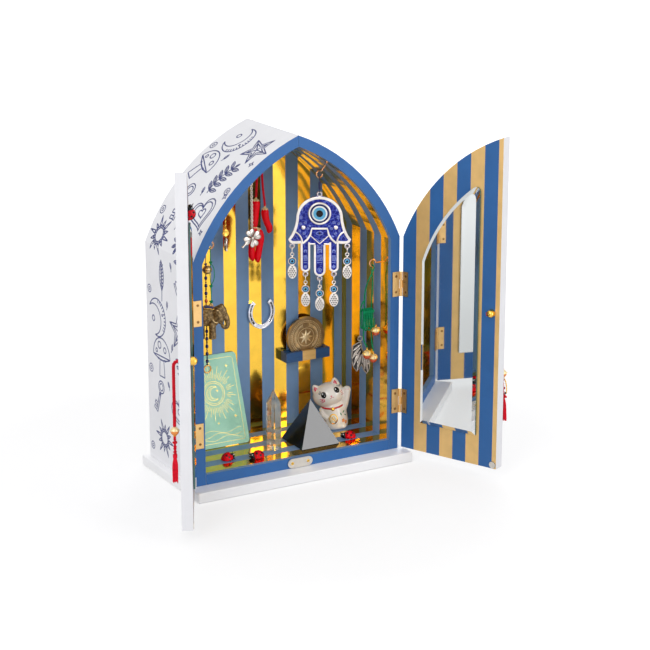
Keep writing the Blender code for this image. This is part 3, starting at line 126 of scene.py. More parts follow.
# Materials
class Nodes:
    """A tree of nodes, made with short calls."""

    def __init__(self, tree):
        self.tree = tree

    def node(self, kind, *inputs, **settings):
        made = self.tree.nodes.new(kind)
        for key, value in settings.items():
            setattr(made, key, value)
        for index, value in enumerate(inputs):
            self.feed(made.inputs[index], value)
        return made

    def feed(self, socket, value):
        if isinstance(value, bpy.types.NodeSocket):
            self.tree.links.new(value, socket)
        elif value is not None:
            socket.default_value = value

    def place(self, kind="Object"):
        return self.node("ShaderNodeTexCoord").outputs[kind]

    def math(self, operation, first, second=0.5):
        return self.node("ShaderNodeMath", first, second, operation=operation).outputs[0]

    def vector(self, operation, first, second=None):
        made = self.node("ShaderNodeVectorMath", first, second, operation=operation)
        return made.outputs["Value" if operation in ("DOT_PRODUCT", "LENGTH") else "Vector"]

    def along(self, direction, kind="Object"):
        """How far a place, or a normal, lies along a direction."""
        return self.vector("DOT_PRODUCT", self.place(kind), Vector(direction))

    def faces(self, direction, least=0.5):
        """1 where the surface faces a direction."""
        return self.math("GREATER_THAN", self.along(direction, "Normal"), least)

    def noise(self, scale, detail=4.0, rough=0.55, stretch=None):
        place = self.vector("MULTIPLY", self.place(), Vector(stretch)) if stretch else self.place()
        made = self.node("ShaderNodeTexNoise")
        for name, value in (("Vector", place), ("Scale", scale), ("Detail", detail), ("Roughness", rough)):
            self.feed(made.inputs[name], value)
        return made.outputs["Fac"]

    def ramp(self, share, stops, sharp=False):
        made = self.node("ShaderNodeValToRGB", share)
        ramp = made.color_ramp
        ramp.interpolation = "CONSTANT" if sharp else "LINEAR"
        while len(ramp.elements) < len(stops):
            ramp.elements.new(0.5)
        for element, (at, colour) in zip(ramp.elements, stops):
            element.position = at
            element.color = (*colour, 1.0)
        return made.outputs[0]

    def mottle(self, share, colour, dark, light, low=0.3, high=0.7):
        """A colour between a darker and a lighter shade of itself."""
        return self.ramp(share, [(low, shade(colour, dark)), (high, shade(colour, light))])

    def steps(self, value, low, high, edges):
        """0 or 1 in turn between the edges of a range, from 0."""
        share = self.node("ShaderNodeMapRange", value, low, high, 0.0, 1.0).outputs[0]
        span = high - low
        stops = [(max(0.0, (edge - low) / span), (index % 2,) * 3) for index, edge in enumerate(edges)]
        return self.ramp(share, stops, sharp=True)

    def mix(self, share, first, second):
        made = self.node("ShaderNodeMix", data_type="RGBA")
        self.feed(made.inputs[0], share)
        for socket, value in ((made.inputs[6], first), (made.inputs[7], second)):
            self.feed(socket, (*value, 1.0) if isinstance(value, tuple) else value)
        return made.outputs[2]

    def span(self, share, low, high):
        """A share turned into a number between low and high."""
        return self.node("ShaderNodeMapRange", share, 0.0, 1.0, low, high).outputs[0]

    def direct(self):
        """1 for what the camera sees, by itself, in a reflection or through glass."""
        seen = self.node("ShaderNodeLightPath").outputs
        either = self.math("MAXIMUM", seen["Is Camera Ray"], seen["Is Glossy Ray"])
        return self.math("MAXIMUM", either, seen["Is Transmission Ray"])


class Finish(Nodes):
    """A material with one shader."""

    def __init__(self, name):
        self.material = bpy.data.materials.new(name)
        self.material.use_nodes = True
        super().__init__(self.material.node_tree)
        self.shader = self.tree.nodes["Principled BSDF"]

    def bump(self, height, strength, depth_mm, before=None):
        made = self.node("ShaderNodeBump")
        values = {"Strength": strength, "Distance": depth_mm * MM, "Height": height, "Normal": before}
        for name, value in values.items():
            self.feed(made.inputs[name], value)
        self.feed(self.shader.inputs["Normal"], made.outputs[0])
        return made.outputs[0]

    def set(self, **values):
        """Values that hold all over the surface, or sockets that feed the shader."""
        for key, value in values.items():
            name = key.replace("_", " ").title().replace("Ior", "IOR")
            if isinstance(value, tuple):
                value = (*value, 1.0)
            self.feed(self.shader.inputs[name], value)


def srgb(red, green, blue):
    """A colour as it looks, 0 to 255, in linear light."""
    shares = (red / 255, green / 255, blue / 255)
    return tuple(one / 12.92 if one <= 0.04045 else ((one + 0.055) / 1.055) ** 2.4 for one in shares)


def shade(colour, share):
    return tuple(min(1.0, one * share) for one in colour)


def grey(level):
    return (level,) * 3


def plain(name, colour, rough, metallic=0.0, spread=0.12, grain=220, bump=0.15, depth=0.05, **more):
    """A surface with mottled colour, given from 0 to 255, uneven gloss and a fine grain."""
    made = Finish(name)
    fine = made.noise(grain, 6)
    made.set(base_color=made.mottle(made.noise(grain * 0.25), srgb(*colour), 1 - spread, 1 + spread))
    made.set(roughness=made.span(fine, max(0.02, rough * 0.75), min(1.0, rough * 1.25)))
    made.set(metallic=metallic, **more)
    made.bump(fine, bump, depth)
    return made.material


# Routes and outlines, in millimetres
def polar(radius, degrees):
    angle = math.radians(degrees)
    return radius * math.cos(angle), radius * math.sin(angle)


def arc(centre, radius, start_deg, end_deg, steps):
    points = []
    for step in range(steps + 1):
        across, up = polar(radius, start_deg + (end_deg - start_deg) * step / steps)
        points.append((centre[0] + across, centre[1] + up))
    return points


def oval(half_across, half_up, steps=20, across=0.0, up=0.0):
    return [(across + half_across * x, up + half_up * y) for x, y in arc((0, 0), 1, 0, 360, steps)[:-1]]


def starred(outer, inner, tips):
    """A star's outline, with a tip at the top."""
    return [polar(inner if index % 2 else outer, 90 + 180 / tips * index) for index in range(2 * tips)]


def sized(points, share):
    return [(across * share, up * share) for across, up in points]


def shifted(points, right, higher):
    return [(across + right, up + higher) for across, up in points]


def mirrored(points):
    return [(-across, up) for across, up in points]


def bend(start, control, end, steps):
    points = []
    for step in range(steps + 1):
        share = step / steps
        weights = ((1 - share) ** 2, 2 * share * (1 - share), share ** 2)
        points.append(tuple(sum(weight * place[axis] for weight, place in
                                zip(weights, (start, control, end))) for axis in range(len(start))))
    return points


def smooth_route(places, spacing):
    """Evenly spaced points on a smooth curve through the given places."""
    places = [Vector(place) for place in places]
    ends = [places[0] * 2 - places[1], *places, places[-1] * 2 - places[-2]]
    route = [places[0]]
    for index in range(1, len(ends) - 2):
        before, first, last, after = ends[index - 1:index + 3]
        steps = max(1, round((last - first).length / spacing))
        for step in range(1, steps + 1):
            share = step / steps
            route.append(0.5 * (2 * first + (last - before) * share
                                + (2 * before - 5 * first + 4 * last - after) * share ** 2
                                + (3 * first - before - 3 * last + after) * share ** 3))
    return route


def length_of(route):
    return sum((after - before).length for before, after in zip(route, route[1:]))


def resample(route, spacing):
    """Points at an even spacing along a route."""
    total = length_of(route)
    count = max(2, round(total / spacing))
    points = [route[0].copy()]
    gone = 0.0
    index = 0
    for step in range(1, count):
        target = total * step / count
        while gone + (route[index + 1] - route[index]).length < target:
            gone += (route[index + 1] - route[index]).length
            index += 1
        span = (route[index + 1] - route[index]).length
        points.append(route[index].lerp(route[index + 1], (target - gone) / span))
    points.append(route[-1].copy())
    return points


def frames_of(route, closed=False):
    """Two directions across a route at each of its points, without twist."""
    made = []
    normal = None
    count = len(route)
    for index in range(count):
        before = route[index - 1] if index or closed else route[index]
        after = route[(index + 1) % count] if index < count - 1 or closed else route[index]
        tangent = (after - before).normalized()
        if normal is None:
            normal = tangent.cross(Vector((0, 0, 1)) if abs(tangent.z) < 0.9 else Vector((1, 0, 0)))
        normal = (normal - tangent * normal.dot(tangent)).normalized()
        made.append((normal, tangent.cross(normal)))
    return made


UPRIGHT = Matrix.Rotation(math.radians(90), 4, "X")
HERE = Matrix.Identity(4)


def at(across, back, up, turn=HERE):
    return Matrix.Translation(Vector((across, back, up))) @ turn


def spin(axis, degrees):
    return Matrix.Rotation(math.radians(degrees), 4, axis)


SIDEWAYS = spin("Y", 90)
ROPE_PITCH = 4.2
ROPE_STEPS = 9
STRAND_OUT = 0.48
STRAND_SIZE = 0.52
KNOT_STEPS = 48
DOME_SHARES = (1.0, 0.9, 0.72, 0.48, 0.22, 0.04)
LINE_SINK = -0.03
LINE_SHOULDER = 0.6
SHARP_ANGLE = math.radians(40)


def facing(direction):
    """A turn that points local Z along a direction."""
    return direction.to_track_quat("Z", "Y").to_matrix().to_4x4()


def tapered(count, first, change):
    """Shares of a radius that change evenly along a route."""
    return [first + change * index / (count - 1) for index in range(count)]


class Shape:
    """A mesh under way, in millimetres, with a material for each of its forms."""

    def __init__(self):
        self.points = []
        self.faces = []
        self.marks = []
        self.paints = []

    def add(self, points, faces, paint, place=HERE):
        base = len(self.points)
        self.points += [place @ Vector(point) for point in points]
        self.faces += [tuple(base + index for index in face) for face in faces]
        if paint not in self.paints:
            self.paints.append(paint)
        self.marks += [self.paints.index(paint)] * len(faces)
        return self

    def loft(self, loops, paint, place=HERE, closed=False):
        """Joins loops of equal count into a closed skin."""
        sides = len(loops[0])
        points = [point for loop in loops for point in loop]
        faces = []
        for index in range(len(loops) if closed else len(loops) - 1):
            near = index * sides
            far = (index + 1) % len(loops) * sides
            for side in range(sides):
                other = (side + 1) % sides
                faces.append((near + side, near + other, far + other, far + side))
        if not closed:
            faces.append(tuple(range(sides)))
            faces.append(tuple(len(points) - sides + side for side in range(sides)))
        return self.add(points, faces, paint, place)

    def tube(self, route, radius, paint, sides=10, shares=None, closed=False, place=HERE):
        """A round bar along a route, with shares of its radius at its points."""
        route = [Vector(point) for point in route]
        angles = [2 * math.pi * side / sides for side in range(sides)]
        loops = []
        for index, (point, (one, two)) in enumerate(zip(route, frames_of(route, closed))):
            size = radius * (shares[index] if shares else 1.0)
            loops.append([point + size * (one * math.cos(angle) + two * math.sin(angle)) for angle in angles])
        return self.loft(loops, paint, place, closed)

    def rope(self, route, radius, paint, strands=3):
        """Strands laid round each other along a route."""
        route = resample([Vector(point) for point in route], radius * ROPE_PITCH / ROPE_STEPS)
        axes = frames_of(route)
        for strand in range(strands):
            line = []
            for index, (point, (one, two)) in enumerate(zip(route, axes)):
                angle = 2 * math.pi * (strand / strands + index / ROPE_STEPS)
                line.append(point + radius * STRAND_OUT * (one * math.cos(angle) + two * math.sin(angle)))
            self.tube(line, radius * STRAND_SIZE, paint, 7)
        return self

    def turned(self, profile, paint, place=HERE, steps=24):
        """A profile of radius and height turned about local Z; it starts and ends on the axis."""
        points = []
        rows = []
        for radius, height in profile:
            if radius < 1e-6:
                rows.append([len(points)] * steps)
                points.append((0, 0, height))
                continue
            rows.append(list(range(len(points), len(points) + steps)))
            for step in range(steps):
                angle = 2 * math.pi * step / steps
                points.append((radius * math.cos(angle), radius * math.sin(angle), height))
        faces = []
        for lower, upper in zip(rows, rows[1:]):
            for step in range(steps):
                after = (step + 1) % steps
                corners = []
                for index in (lower[step], lower[after], upper[after], upper[step]):
                    if index not in corners:
                        corners.append(index)
                if len(corners) > 2:
                    faces.append(tuple(corners))
        return self.add(points, faces, paint, place)

    def ball(self, radii, paint, place=HERE, steps=20):
        profile = [(across, up) for up, across in arc((0, 0), 1, 0, 180, max(6, steps // 2))]
        sizes = (radii,) * 3 if isinstance(radii, (int, float)) else radii
        return self.turned(profile, paint, place @ Matrix.Diagonal((*sizes, 1.0)), steps)

    def ring(self, radius, wire, paint, place=HERE, steps=24, sides=8, flat=1.0):
        """A round ring in the XY plane of its place."""
        section = arc((0, 0), wire, 0, 360, sides)[:-1]
        loops = []
        for x, y in arc((0, 0), 1, 0, 360, steps)[:-1]:
            loops.append([Vector((x * (radius + out), y * (radius + out), up * flat)) for out, up in section])
        return self.loft(loops, paint, place, closed=True)

    def plate(self, outline, thick, paint, place, holes=(), edge=0.0):
        """A flat outline with holes, thickened to both sides, its edges rounded by edge."""
        curve = bpy.data.curves.new("plate", "CURVE")
        curve.dimensions = "2D"
        curve.fill_mode = "BOTH"
        curve.extrude = thick / 2 - edge
        curve.bevel_depth = edge
        curve.offset = -edge
        curve.bevel_resolution = 1
        for loop in (outline, *holes):
            spline = curve.splines.new("POLY")
            spline.points.add(len(loop) - 1)
            for point, (across, up) in zip(spline.points, loop):
                point.co = (across, up, 0.0, 1.0)
            spline.use_cyclic_u = True
        draft = bpy.data.objects.new("plate", curve)
        mesh = bpy.data.meshes.new_from_object(draft)
        builder = bmesh.new()
        builder.from_mesh(mesh)
        bmesh.ops.remove_doubles(builder, verts=builder.verts, dist=0.001)
        bmesh.ops.dissolve_degenerate(builder, edges=builder.edges, dist=0.0005)
        builder.to_mesh(mesh)
        builder.free()
        points = [vertex.co.copy() for vertex in mesh.vertices]
        self.add(points, [tuple(polygon.vertices) for polygon in mesh.polygons], paint, place)
        bpy.data.objects.remove(draft)
        bpy.data.curves.remove(curve)
        bpy.data.meshes.remove(mesh)
        return self

    def dome(self, outline, high, paint, place, base):
        """A cushion-shaped boss on an outline, which rises along local Z."""
        mid_x, mid_y = (sum(along) / len(outline) for along in zip(*outline))
        loops = [[Vector((across, up, base)) for across, up in outline]]
        for share in DOME_SHARES:
            rise = high * (0.25 + 0.75 * (1 - share ** 2.2))
            loops.append([Vector((mid_x + (across - mid_x) * share, mid_y + (up - mid_y) * share, rise))
                          for across, up in outline])
        return self.loft(loops, paint, place)

    def line(self, points, width, paint, lay, closed=False, high=0.1):
        """A drawn line with a low ridge, laid on a surface by lay(across, up, lift)."""
        points = [Vector(point).to_2d() for point in points]
        count = len(points)
        loops = []
        for index, point in enumerate(points):
            before = points[index - 1] if index or closed else point
            after = points[(index + 1) % count] if index < count - 1 or closed else point
            along = (after - before).normalized()
            aside = Vector((-along.y, along.x)) * width / 2
            shoulder = high * LINE_SHOULDER
            ends = ((point + aside, LINE_SINK), (point + aside, shoulder), (point, high),
                    (point - aside, shoulder), (point - aside, LINE_SINK))
            loops.append([lay(spot.x, spot.y, lift) for spot, lift in ends])
        return self.loft(loops, paint, closed=closed)

    def knot(self, size, wire, paint, place=HERE):
        """A tied knot of cord."""
        route = []
        for step in range(KNOT_STEPS):
            angle = 2 * math.pi * step / KNOT_STEPS
            route.append(Vector((math.sin(angle) + 2 * math.sin(2 * angle), -math.sin(3 * angle) * 1.2,
                                 math.cos(angle) - 2 * math.cos(2 * angle))) * size / 3)
        return self.tube(route, wire, paint, 8, closed=True, place=place)

    def mesh(self, name):
        mesh = bpy.data.meshes.new(name)
        mesh.from_pydata([point * MM for point in self.points], [], self.faces)
        for paint in self.paints:
            mesh.materials.append(paint)
        mesh.polygons.foreach_set("material_index", self.marks)
        builder = bmesh.new()
        builder.from_mesh(mesh)
        bmesh.ops.recalc_face_normals(builder, faces=builder.faces)
        builder.to_mesh(mesh)
        builder.free()
        mesh.shade_smooth()
        mesh.set_sharp_from_angle(angle=SHARP_ANGLE)
        return mesh

    def melted(self, name, voxel, rounds):
        """The forms fused into one smooth skin."""
        draft = bpy.data.objects.new(name, self.mesh(name))
        SCENE.collection.objects.link(draft)
        remesh = draft.modifiers.new("fuse", "REMESH")
        remesh.mode = "VOXEL"
        remesh.voxel_size = voxel * MM
        smooth = draft.modifiers.new("smooth", "SMOOTH")
        smooth.factor = 0.5
        smooth.iterations = rounds
        bpy.context.view_layer.update()
        found = draft.evaluated_get(bpy.context.evaluated_depsgraph_get())
        mesh = bpy.data.meshes.new_from_object(found)
        bpy.data.objects.remove(draft)
        mesh.materials.clear()
        mesh.materials.append(self.paints[0])
        mesh.shade_smooth()
        return mesh


def piece(name, made, place, body, stands_for=()):
    """A piece of the scene, in place, on its body."""
    mesh = made.mesh(name) if isinstance(made, Shape) else made
    piece_object = bpy.data.objects.new(name, mesh)
    SCENE.collection.objects.link(piece_object)
    location, rotation, _ = place.decompose()
    piece_object.matrix_world = Matrix.LocRotScale(location, rotation, None)
    if stands_for:
        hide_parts(*stands_for)
    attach(piece_object, body)
    return piece_object


def cord(name, route, radius, paint, place, body, stands_for=(),
         strands=3):
    """A cord along a route, laid as a rope of strands."""
    route = [Vector(point) for point in route]
    made = piece(name, Shape().rope(route, radius, paint, strands), place, body, stands_for)
    path = [place @ point for point in route]
    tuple(path[0])
    length_of(path)
    return made


# Finishes of the small pieces
def fibre(name, colour, rough, spread, grain=1500, **more):
    """A cord or a thread."""
    return plain(name, colour, rough, 0, spread, grain, 0.5, **more)


def metal(name, colour, rough, spread, grain, bump, depth=0.05):
    return plain(name, colour, rough, 1.0, spread, grain, bump, depth)


RED_CORD = fibre("red_cord_fibre", (206, 12, 36), 0.75, 0.25, specular_ior_level=0.2)
RED_THREAD = fibre("red_tassel_thread", (222, 18, 44), 0.7, 0.2, 1800, specular_ior_level=0.2)
GREEN_CORD = fibre("green_cord_fibre", (2, 138, 88), 0.75, 0.3, specular_ior_level=0.2)
NAVY_CORD = fibre("navy_cord_fibre", (22, 30, 92), 0.65, 0.3, sheen_weight=0.3)
BRASS = metal("brass_plated", (222, 182, 122), 0.3, 0.08, 300, 0.08)
HOOK_BRASS = metal("rose_brass_wire", (214, 160, 118), 0.25, 0.1, 400, 0.1)
AGED_SCREW = metal("aged_screw_head", (150, 110, 64), 0.34, 0.2, 400, 0.2)
SILVER = metal("cast_silver", (228, 221, 215), 0.32, 0.12, 420, 0.35, 0.08)
DARK_SILVER = metal("oxidised_silver", (150, 142, 134), 0.38, 0.45, 700, 0.5, 0.12)
NICKEL = metal("brushed_nickel", (205, 200, 192), 0.38, 0.06, 500, 0.12)
STEEL = metal("worn_steel", (220, 220, 226), 0.22, 0.3, 420, 0.6, 0.15)
GOLD = metal("polished_gold", (238, 190, 84), 0.18, 0.08, 300, 0.08)
BRONZE = plain("aged_bronze", (222, 200, 160), 0.34, 0.8, 0.2, 700, 0.3, 0.08)
DARK_BRONZE = plain("dark_bronze_field", (148, 122, 86), 0.42, 0.8, 0.35, 500, 0.4, 0.08)
RUBBED_BRONZE = plain("rubbed_bronze", (196, 168, 118), 0.36, 0.5, 0.2, 300, 0.1)
# Near-black painted shade, laid in slots, openings and grooves and behind open metalwork, where shade falls
PAINTED_SHADE = plain("painted_recess_shade", (26, 22, 24), 0.55, 0.2, 0.3, 600, 0.2)
INK = plain("blue_ink", (46, 56, 112), 0.55, 0, 0.2, 400, 0.1)
PALE_INK = plain("pale_enamel_line", (146, 164, 234), 0.25, 0.2, 0.15, 400, 0.1)
GOLD_INK = plain("gilt_ink", (246, 220, 126), 0.34, 0.3, 0.15, 500, 0.15)
CREAM = plain("cream_gilt", (234, 214, 164), 0.3, 0.45, 0.15, 500, 0.25, 0.1)
FELT = plain("indigo_cloth", (40, 44, 104), 0.8, 0, 0.3, 1500, 0.6, sheen_weight=0.4)
NAVY = plain("navy_glass", (18, 24, 92), 0.15, 0, 0.25, 300, 0.05, specular_ior_level=0.4)
SKY = plain("light_blue_glass", (96, 182, 226), 0.15, 0, 0.2, 300, 0.05, specular_ior_level=0.4)
MILK = plain("white_glass", (236, 240, 240), 0.12, 0, 0.04, 300, 0.05, coat_weight=0.5)
JET = plain("black_glass", (12, 10, 14), 0.2, 0, 0.3, 300, 0.05, specular_ior_level=0.25)
AMBER = plain("amber_bead", (226, 132, 34), 0.14, 0.2, 0.3, 260, 0.08, coat_weight=0.6)
SCARLET = plain("orange_red_enamel", (206, 74, 30), 0.2, 0, 0.25, 260, 0.1, coat_weight=0.5)
LACQUER = plain("red_lacquer", (228, 0, 24), 0.25, 0, 0.18, 120, 0.06, 0.2,
                specular_ior_level=0.06, coat_weight=0.18, coat_roughness=0.04)
GLAZE = plain("white_glaze_body", (246, 240, 232), 0.14, 0, 0.05, 90, 0.08, 0.3,
              coat_weight=0.7, coat_roughness=0.04)
GLAZE_RED = plain("red_glaze", (206, 44, 52), 0.16, 0, 0.15, 300, 0.06, coat_weight=0.6)
GLAZE_PINK = plain("pink_glaze", (226, 112, 130), 0.18, 0, 0.15, 300, 0.06, coat_weight=0.5)
GLAZE_GREEN = plain("green_glaze", (66, 138, 92), 0.18, 0, 0.2, 300, 0.06, coat_weight=0.5)
GLAZE_ORANGE = plain("orange_glaze", (226, 140, 84), 0.18, 0, 0.2, 300, 0.06, coat_weight=0.5)

# Cords, each along the route of its solid
HAMSA_DEG = -30
HAMSA = hung_from("hamsa_swing", HAMSA_DEG)
CHILI = hung_from("chili_swing")
ELEPHANT = hung_from("elephant_swing", -28)
STRING = hung_from("bead_string_swing")
BELLS = hung_from("right_charms_swing")
TASSEL_LEAN = 4
TASSEL_OUT = -4.8
STUD_BEND = 4.4


def over_hook(radius, centre_up):
    """A turn over a hook's wire, from its front to its back."""
    return [Vector((0, across, up)) for across, up in arc((0, centre_up), radius, 172, 8, 8)]


def tassel_place(label):
    """The frame of a tassel, which hangs a little off plumb."""
    return hung_from(label + "_tassel_swing", OPEN_DEG[label]) @ spin("Y", TASSEL_LEAN * SIDES[label])


for label in SIDES:
    corner = [(0, -0.3 - out, up - STUD_BEND) for up, out in arc((0, 0), STUD_BEND, 0, 90, 6)]
    fall = [corner[-1], (0, TASSEL_OUT, -20), (0.2, -4.7, -42), (0, TASSEL_OUT, -62)]
    cord(label + "_tassel_braid", corner[:-1] + smooth_route(fall, 3), 1.7, RED_CORD, tassel_place(label),
         label + "_tassel", [label + "_tassel_cord"])

places = [(0, -0.4, -11), (0, -0.4, -6), (0, -1.1, -2.2), *over_hook(1.3, 0.02), (0, 1.1, -2.2), (0, 0.4, -6),
          (0, 0.4, -11), (0, 1.05, -14), (0, 1.28, -15.2), (0, 0.72, -15.95), (0, -0.72, -15.95),
          (0, -1.28, -15.2), (0, -1.05, -14.2)]
cord("hamsa_loop", smooth_route(places, 1.2), 0.33, NAVY_CORD, HAMSA, "hamsa",
     ["hamsa_cord"])
coil = [(*polar(0.98, math.degrees(step / 2)), -4.6 - 0.052 * step) for step in range(150)]
piece("hamsa_whipping", Shape().tube(coil, 0.3, NAVY_CORD, 7), HAMSA, "hamsa")

CHILI_EYE = -11
CLOVER_EYE = -22.5
VAULT = arch_height(CHILI_EYE, WALL) - arch_height(CLOVER_EYE, WALL)
CHILI_DROP = 124.0
CHILI_REAR = 2.8


def in_bundle(across, down, back=CHILI_REAR):
    """A place among the peppers: across and down in shares of their drop from the vault."""
    return Vector((across * CHILI_DROP, back, VAULT - down * CHILI_DROP))


for label, near, middle, end, nodes in (("right", 0.014, (0.032, 0.355), (0.052, 0.534), ["chili_cord"]),
                                        ("left", -0.013, (-0.019, 0.274), (-0.03, 0.451), ())):
    start = (SIDES[label] * 1.3, 0, VAULT - 1.6)
    places = [start, in_bundle(near, 0.097, CHILI_REAR / 2), in_bundle(*middle), in_bundle(*end)]
    cord("chili_strand_" + label, smooth_route(places, 3), 1.25, RED_CORD, CHILI, "chili_bundle",
         nodes)

places = [(0.2, -0.5, -54.3), (0.2, -0.5, -46), (0.2, -0.46, -38), (3.4, -0.5, -30), (3.2, -0.5, -19.5),
          (0.1, -0.46, -14), (0, -1.2, -6), *over_hook(1.68, -0.46), (0, 1.2, -6), (0.1, 0.46, -14),
          (-0.6, 0.5, -26), (0.2, 0.46, -38), (0.2, 0.5, -46), (0.2, 0.5, -54.3)]
knots = Shape().knot(1.5, 0.4, GREEN_CORD, at(0.1, 0, -14)).knot(1.5, 0.4, GREEN_CORD, at(0.2, 0, -38))
knots = piece("elephant_knots", knots, ELEPHANT, "elephant")
cord("elephant_loop", smooth_route(places, 1.6), 0.42, GREEN_CORD, ELEPHANT, "elephant",
     ["elephant_cord"])

places = [(0, 0, -2.3), (0.3, 0, -25), (0, 0, -60), (-0.25, 0, -100), (0, 0, -149.6)]
cord("bead_thread", smooth_route(places, 5), 0.4, NAVY_CORD, STRING, "bead_string")

places = [(-8, -3, -85), (-8.6, 3, -76.4), (-7.8, 3, -50), (-7.4, 3, -30), (-6.4, 0.2, -18), (-3.2, -2.6, -8),
          *over_hook(3.0, -1.4), (0.9, 2.9, -8), (1.7, 3, -16), (0.9, 3, -43), (0.8, 3, -76), (-0.3, -3, -90)]
cord("bell_rope", smooth_route(places, 2.6), 0.75, GREEN_CORD, BELLS, "right_charms",
     ["bell_cord"])

HANK_AT = Vector((-7.2, -1.75, -54.5))
HANK_RUN = 16.0
HANK_BEND = 3.0
HANK_PITCH = 2.05
HANK_TURNS = 6.5
HANK_MIDDLE = 2.75
HANK_STEPS = 28


def hank_point(turns):
    """A place on the hank's winding after so many turns, each up the front, over, down the back and under."""
    half = HANK_RUN / 2
    fold = math.pi * HANK_BEND
    gone = (turns % 1.0) * 2 * (HANK_RUN + fold)
    across = HANK_PITCH * (turns - HANK_MIDDLE)
    uneven = 1 + 0.2 * math.sin(2.4 * math.floor(turns))
    if gone < half:
        return Vector((across, -HANK_BEND, gone))
    gone -= half
    if gone < fold:
        back, up = polar(HANK_BEND, math.degrees(gone / HANK_BEND))
        return Vector((across, -back, half + up))
    gone -= fold
    if gone < HANK_RUN:
        return Vector((across, HANK_BEND, (half - gone) * (uneven if gone > half else 1)))
    gone -= HANK_RUN
    if gone < fold:
        back, up = polar(HANK_BEND, math.degrees(gone / HANK_BEND))
        return Vector((across, back, uneven * (-half - up)))
    return Vector((across, -HANK_BEND, uneven * (gone - fold - half)))


winding = [HANK_AT + hank_point(step / HANK_STEPS - 0.5) for step in range(int(HANK_TURNS * HANK_STEPS) + 1)]
entry = winding[0] + Vector((0, 0, 4))
lead = smooth_route([(-8.7, 3, -36.5), (-11, 2.7, -40), (-13.2, 1.9, -45), entry], 1.6)
tie = Shape()
waist = [(-14.4, 0.4), (-13.8, -4.6), (-7.2, -5.6), (-0.6, -4.6), (-0.1, 0.4), (-1.4, 2.4), (-7.6, 4.4),
         (-13.6, 2.6)]
for up in (-46.0, -47.1):
    loop = smooth_route([(*waist[index % len(waist)], up) for index in range(-1, len(waist) + 2)], 1.2)
    tie.tube(loop[6:-8], 0.5, GREEN_CORD, 7)
tie = piece("hank_tie", tie, BELLS, "right_charms")
cord("hank_winding", lead[:-1] + winding, 0.8, GREEN_CORD, BELLS, "right_charms",
     ["cord_hank"], strands=2)


# Finishes of the model's own parts
PAPER = srgb(238, 238, 242)
FRAME_BLUE = srgb(36, 98, 163)
BACK_BLUE = srgb(112, 148, 192)
FOIL = srgb(250, 200, 74)
DOOR_GOLD = srgb(238, 196, 126)
DEPTH_EDGES = [(FRONT_Y + edge) * MM for edge in (0, 5, 19.5, 33.3, 48, 61.5, 78, 90)]
DOOR_PERIOD = 32.0
BACK_START = -63.8
BACK_PERIOD = 29.27
BEVEL_SHARE = 0.55


def banded(name, inside, gold, edge=None, blue=BACK_BLUE, foil=FOIL, matte=0.0):
    """Paper-white board whose inside is painted blue with bands of gold foil."""
    made = Finish(name)
    inner = inside(made)
    bands = made.math("MULTIPLY", gold(made), inner)
    painted = made.math("MAXIMUM", inner, edge(made)) if edge else inner
    patches = made.noise(40)
    fine = made.noise(900, 5)
    waves = made.noise(26, 2, 0.4)
    white = made.mottle(patches, PAPER, 0.95, 1.0)
    blues = made.mottle(patches, blue, 0.9, 1.08, 0.25, 0.75)
    if edge:
        blues = made.mix(edge(made), blues, made.mottle(patches, FRAME_BLUE, 0.92, 1.06, 0.25, 0.75))
    golds = made.mottle(made.noise(70, 5), foil, 0.88, 1.0, 0.3, 0.65)
    made.set(base_color=made.mix(bands, made.mix(painted, white, blues), golds))
    made.set(metallic=made.math("MULTIPLY", bands, 1.0 - 0.6 * matte))
    gloss = made.math("MULTIPLY", bands, 0.34 - 0.26 * matte)
    made.set(roughness=made.math("SUBTRACT", made.span(fine, 0.4, 0.52), gloss))
    first = made.bump(made.math("MULTIPLY", waves, bands), 0.35 - 0.3 * matte, 3.0)
    made.bump(fine, 0.12, 0.05, first)
    return made.material


def by_depth(made):
    return made.steps(made.along((0, 1, 0)), FRONT_Y * MM, (FRONT_Y + BACK_FACE) * MM, DEPTH_EDGES)


def by_period(made, direction, start, period, gold_first):
    """1 in every other half of a period along a direction."""
    gone = made.math("SUBTRACT", made.along(direction), start)
    share = made.math("FRACT", made.math("DIVIDE", gone, period))
    return made.math("LESS_THAN" if gold_first else "GREATER_THAN", share, 0.5)


def to_front(made):
    return made.faces((0, -1, 0))


def mirror_glass(name, inward):
    """Silvered glass, through which the bevel turns what it mirrors the other way."""
    glass = Finish(name)
    silvered = glass.faces(inward, 0.6)
    glass.set(base_color=glass.mix(silvered, srgb(70, 112, 112), srgb(226, 228, 228)), metallic=silvered)
    glass.set(roughness=glass.span(glass.noise(30, 5), 0.0, 0.05), specular_ior_level=0.6)
    skin = glass.place("Normal")
    tilt = glass.vector("MULTIPLY", glass.vector("SUBTRACT", skin, inward), Vector((BEVEL_SHARE,) * 3))
    wedge = glass.node("ShaderNodeMix", data_type="VECTOR")
    for number, value in ((0, silvered), (4, skin), (5, glass.vector("SUBTRACT", inward, tilt))):
        glass.feed(wedge.inputs[number], value)
    turned_normal = glass.node("ShaderNodeVectorTransform", wedge.outputs[1], vector_type="NORMAL",
                               convert_from="OBJECT", convert_to="WORLD")
    glass.bump(glass.noise(12, 1), 0.02, 0.3, turned_normal.outputs[0])
    return glass.material


def dress(material, *names):
    """Gives parts of the model a finish."""
    for name in names:
        slots = NODES[name].material_slots
        if not slots:
            NODES[name].data.materials.append(material)
        for slot in slots:
            slot.material = material


